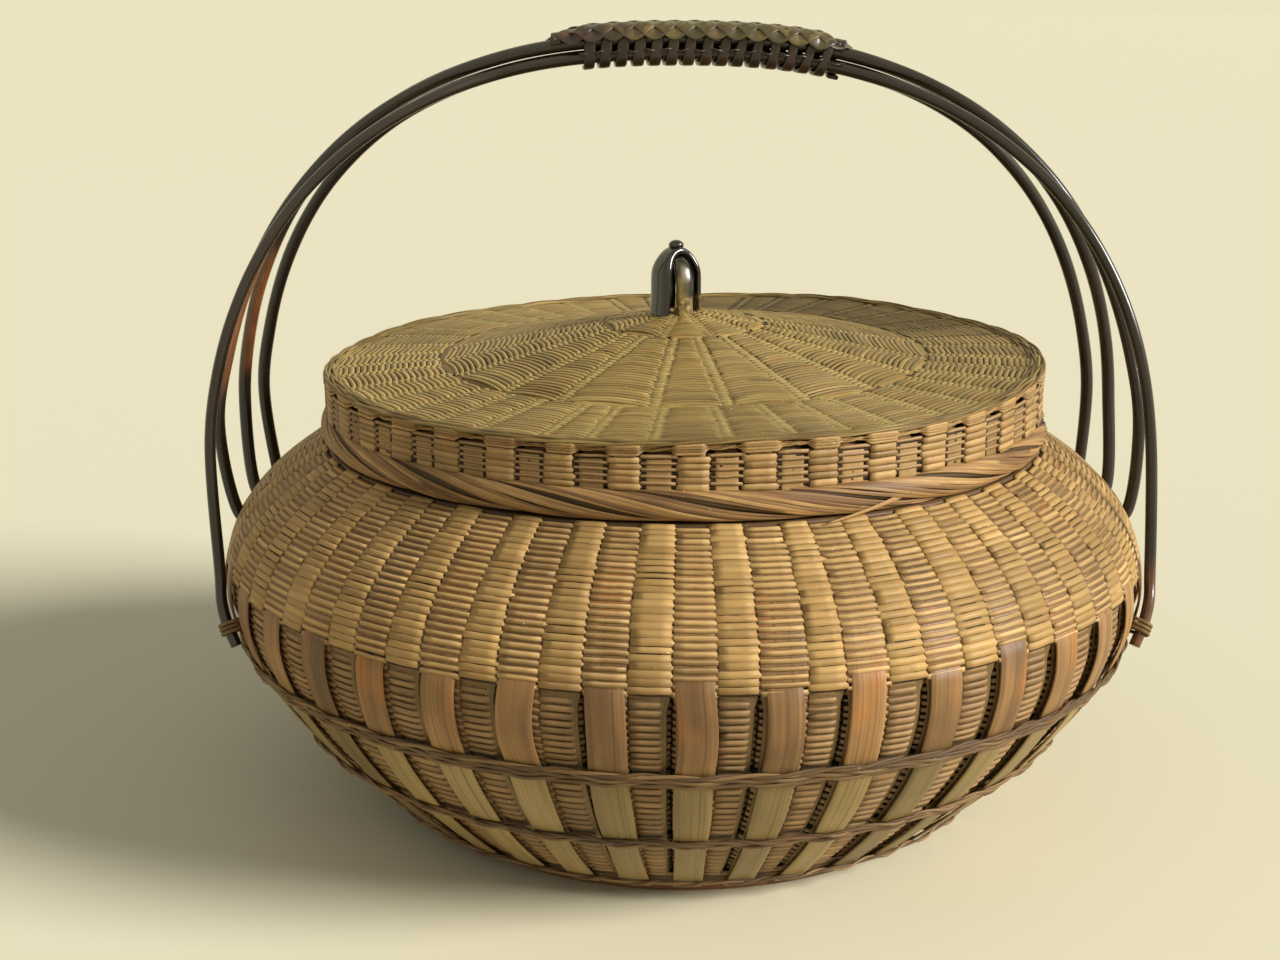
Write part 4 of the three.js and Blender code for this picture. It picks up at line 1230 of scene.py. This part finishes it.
def makeLidWall():
    s = lidWallSettings
    columns = Columns(80, 0.5, wallParts, 0.005)
    line = [(s["radius"], s["low"]), (s["radius"], s["high"])]
    look = {**shoulderLook, "lift": (0.4, 0.2), "wave": 0.2, "over": (0.98, 0.62), "bulge": (0, 0),
            "flat": (0.93, 0.6), "pinch": (0.5, 0.5), "pair": (0.1, 0), "ramp": (0.25, 0.25),
            "uneven": 0.08, "lip": (0.35, 1)}
    mesh = woven("lidWall", rowsOf(line, s["rows"], s["depth"]), columns, look)
    addPiece(mesh, lidWallWeft, "lid", "lid_wall")
    line = [(s["radius"], s["low"] - 2), (s["radius"], s["stakeTop"])]
    places = spread(line, np.linspace(0, 1, 16), 1.2)
    angle, width = columns.middles(places["at"])
    odd = np.arange(len(angle))[:, None] % 2
    tuck = s["tuck"] * odd * step(places["at"][:, 1], *s["tucks"])
    wide = width * s["radius"] * s["stakeWidth"]
    mesh = stakesAlong("lidStakes", places, angle, wide, thinStake, tuck)
    addPiece(mesh, lidWallWeft, "lid")
    heights = np.linspace(*s["hoopHeights"], s["hoopRows"])
    places = placesAt(s["hoopRadius"], heights, (1, 0))
    mesh = hoops("lidHoop", places, s["hoopWide"], s["hoopThick"], 8)
    addPiece(mesh, hoopBamboo, "lid", "lid_hoop")


makeLidWall()


# lid border: three strands of parallel splints, twisted into a rope

borderSettings = {"radius": 115, "height": 126.55, "out": 2.5, "up": 4.05, "turns": 6,
                  "splints": 9, "inner": 3, "step": 0.235, "wide": 1.15, "thick": 0.7,
                  "overlap": 0.35, "edge": 0.9, "sink": 1.3, "slip": 0.12, "rough": 0.14, "steps": 400}
looseSettings = {"angles": (0.53, 0.31), "radius": 116.9, "out": 2.4, "bulge": 0.5, "height": 125.8,
                 "drop": 4.6, "wide": (1.5, 0.4), "thick": 0.4}


# a line on the rope's surface, and the ways across and out of it
def ropeLine(angle, phase, reach):
    s = borderSettings
    turn = s["turns"] * angle + phase
    r = s["radius"] + (s["out"] + reach) * np.sin(turn)
    z = s["height"] + (s["up"] + reach) * np.cos(turn)
    line = onRing(r, z, angle)
    out = onRing((s["up"] + reach) * np.sin(turn), (s["out"] + reach) * np.cos(turn), angle)
    out /= np.linalg.norm(out, axis=-1, keepdims=True)
    ahead = np.gradient(line, axis=-2)
    ahead[..., 0, :] = line[..., 1, :] - line[..., 0, :]
    ahead /= np.linalg.norm(ahead, axis=-1, keepdims=True)
    across = np.cross(ahead, out)
    return line, across / np.linalg.norm(across, axis=-1, keepdims=True), out


def makeBorder():
    s = borderSettings
    angle = np.linspace(-math.pi, math.pi, s["steps"], endpoint=False)
    for strand in range(3):
        tubes, crests = [], []
        for splint in range(s["splints"] + s["inner"]):
            inside = splint >= s["splints"]
            place = (splint - s["splints"] - 1) * 2 if inside else splint - (s["splints"] - 1) / 2
            slip = ringWave(angle, s["slip"], (4, 9, 15))
            phase = fullTurn * strand / 3 + place * s["step"] + slip
            share = place / (s["splints"] - 1) * 2
            reach = s["overlap"] * (share + 1) / 2 - s["edge"] * abs(share) ** 5 - 0.1
            reach = -s["sink"] if inside else reach
            rough = ringWave(angle, s["rough"], (6, 11, 17))
            tubes.append(ropeLine(angle, phase, reach + rough))
            # edge splints of each strand darker and the hidden inner ones dark: painted shade between
            # the bundles
            crests.append(0 if inside else 1 - 0.85 * abs(share) ** 8)
        points = tubesOf(tubes, s["wide"], s["thick"], splintSection)
        tone = splintTones(len(points), angle, 5)
        mesh = laid(f"lidBorder{strand + 1}", points, True, tone=tone[..., None],
                    crest=np.array(crests)[:, None, None])
        addPiece(mesh, borderBamboo, "lid", f"lid_border_strand_{strand + 1}")

    # a splint's end that has come loose in front
    s = looseSettings
    share = np.linspace(0, 1, 12)
    r = s["radius"] + s["out"] * share + s["bulge"] * np.sin(2.5 * share)
    line = onRing(r, s["height"] - s["drop"] * share, np.linspace(*s["angles"], 12))
    tube = line, *carried(line, np.array([0.3, -1.0, 0]))
    points = tubesOf([tube], np.linspace(*s["wide"], 12), s["thick"], splintSection)
    mesh = laid("looseSplint", points, False, tone=0.95, crest=1.0)
    addPiece(mesh, borderBamboo, "lid")


borderBamboo = splintFinish("borderBamboo", "lid_bamboo", {
    **plainLook, "grain": 60, "dark": "#382a16",
    "stops": [(0.1, "#44301a"), (0.4, "#7b5b38"), (0.7, "#aa8450"), (0.95, "#deba82")]})
makeBorder()


# knob: two lacquered strips bent over each other, bindings at their feet and a nub on top

knobSettings = {"offset": -2.3, "reach": 6.1, "top": 181.3, "crown": 160.6, "tail": 156.0,
                "arch": 9.5, "flare": 0.5, "narrows": 0.35, "goldStarts": (177, 173),
                "goldEdge": (0.5, 0.15), "foot": (166, 165.2),
                "nub": (2.5, 2.4, 1.7), "nubHeight": 181.7,
                "strips": {"knobOuter": ("knob_outer_strip", 9.6, 2.6, 35, 0, 0),
                           "knobInner": ("knob_inner_strip", 5.6, 2.4, -65, 2.5, 1)}}


def knobFinish(name, slot, coatRoughness):
    made = Finish(name, slot, **{"Coat Roughness": coatRoughness})
    gold, foot = made.mark("crest"), made.mark("odd")
    grain = made.noise(made.sheet(), (50, 8, 1), 3, 2.0)
    patch = made.noise(made.place(), (220, 220, 120), 2)
    black = made.ramp(grain, [(0.3, "#070606"), (0.6, "#15100d"), (0.8, "#2a1b12")])
    colour = made.mix(gold * made.band(patch, 0.25, 0.6), black, tint("#7d6c2c"))
    speck = made.noise(made.place(), (900, 900, 700), 2)
    brown = made.ramp(speck, [(0.35, "#4a3a1e"), (0.55, "#7d6638"), (0.7, "#a8905a")])
    colour = made.mix(foot, colour, brown)
    roughness = 0.12 + grain * 0.12 + gold * 0.25 + foot * 0.45
    coat = {"Coat Weight": 0.8 - gold * 0.65 - foot * 0.3}
    return made.finished(colour, roughness, grain, 0.2, 0.3 * mm, coat)


def knobLine(thick, turn, drop):
    s = knobSettings
    top = s["top"] - drop - thick / 2
    bend = np.linspace(math.pi, 0, 33)
    arch = np.stack([s["reach"] * np.cos(bend), top - s["arch"] + s["arch"] * np.sin(bend)], 1)
    legs = np.linspace(s["tail"], top - s["arch"], 12)[:-1]
    flare = s["flare"] * step(legs, s["crown"] + 6, s["crown"] - 2)
    left = np.stack([-s["reach"] - flare, legs], 1)
    flat = np.concatenate([left, arch, left[::-1] * (-1, 1)])
    way = np.array([math.cos(math.radians(turn)), math.sin(math.radians(turn)), 0])
    line = flat[:, :1] * way + flat[:, 1:] * (0, 0, 1) + (s["offset"], 0, 0)
    return line, way


def makeKnob():
    s = knobSettings
    for name, (node, wide, thick, turn, drop, gilt) in s["strips"].items():
        line, way = knobLine(thick, turn, drop)
        side = np.array([-way[1], way[0], 0])
        ahead = np.gradient(line, axis=0)
        out = np.cross(side, ahead)
        out /= np.linalg.norm(out, axis=1)[:, None]
        out *= np.sign((out * (line - (s["offset"], 0, 165))).sum(1).mean())
        y, z = line[:, 1], line[:, 2]
        taper = wide * (1 - s["narrows"] * step(z, s["top"] - 8, s["top"] - 1))
        points = tubesOf([(line, np.broadcast_to(side, line.shape), out)], taper, thick, knobSection)
        # gold on the inner strip's front leg, and bindings at the feet
        streak = step(knobSection[:, 0], *s["goldEdge"])
        crest = gilt * (step(z, *s["goldStarts"]) * (y < 0))[:, None] * streak
        foot = step(z, *s["foot"]) * ((y < 0) if gilt else 0.6 * (y > 0))
        mesh = laid(name, points, False, tone=0.3, crest=crest[None], odd=foot[None, :, None])
        addPiece(mesh, knobFinish(name, "knob_lacquer", 0.06 + 0.2 * gilt), "lid", node)

    bm = bmesh.new()
    bmesh.ops.create_uvsphere(bm, u_segments=24, v_segments=12, radius=1)
    bmesh.ops.scale(bm, verts=bm.verts, vec=[size * mm for size in s["nub"]])
    bmesh.ops.translate(bm, verts=bm.verts, vec=(s["offset"] * mm, 0, s["nubHeight"] * mm))
    mesh = meshOf("knobNub", bm)
    mesh.shade_smooth()
    addPiece(mesh, knobFinish("knobNub", "knob_lacquer", 0.1), "lid", "knob_tie")


# a thick strip's section, with a crowned face
corner = fullTurn * np.arange(24) / 24
knobSection = np.stack([np.sign(np.cos(corner)) * abs(np.cos(corner)) ** 0.6,
                        np.sign(np.sin(corner)) * abs(np.sin(corner)) ** 0.75], 1)
makeKnob()
print("lid made")

low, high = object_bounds()
sizes = {"cad": [list(cadBox[0]), list(cadBox[1])], "visual": [list(low), list(high)]}
print("sizes in mm", [[round(v / mm, 1) for v in corner] for box in sizes.values() for corner in box])
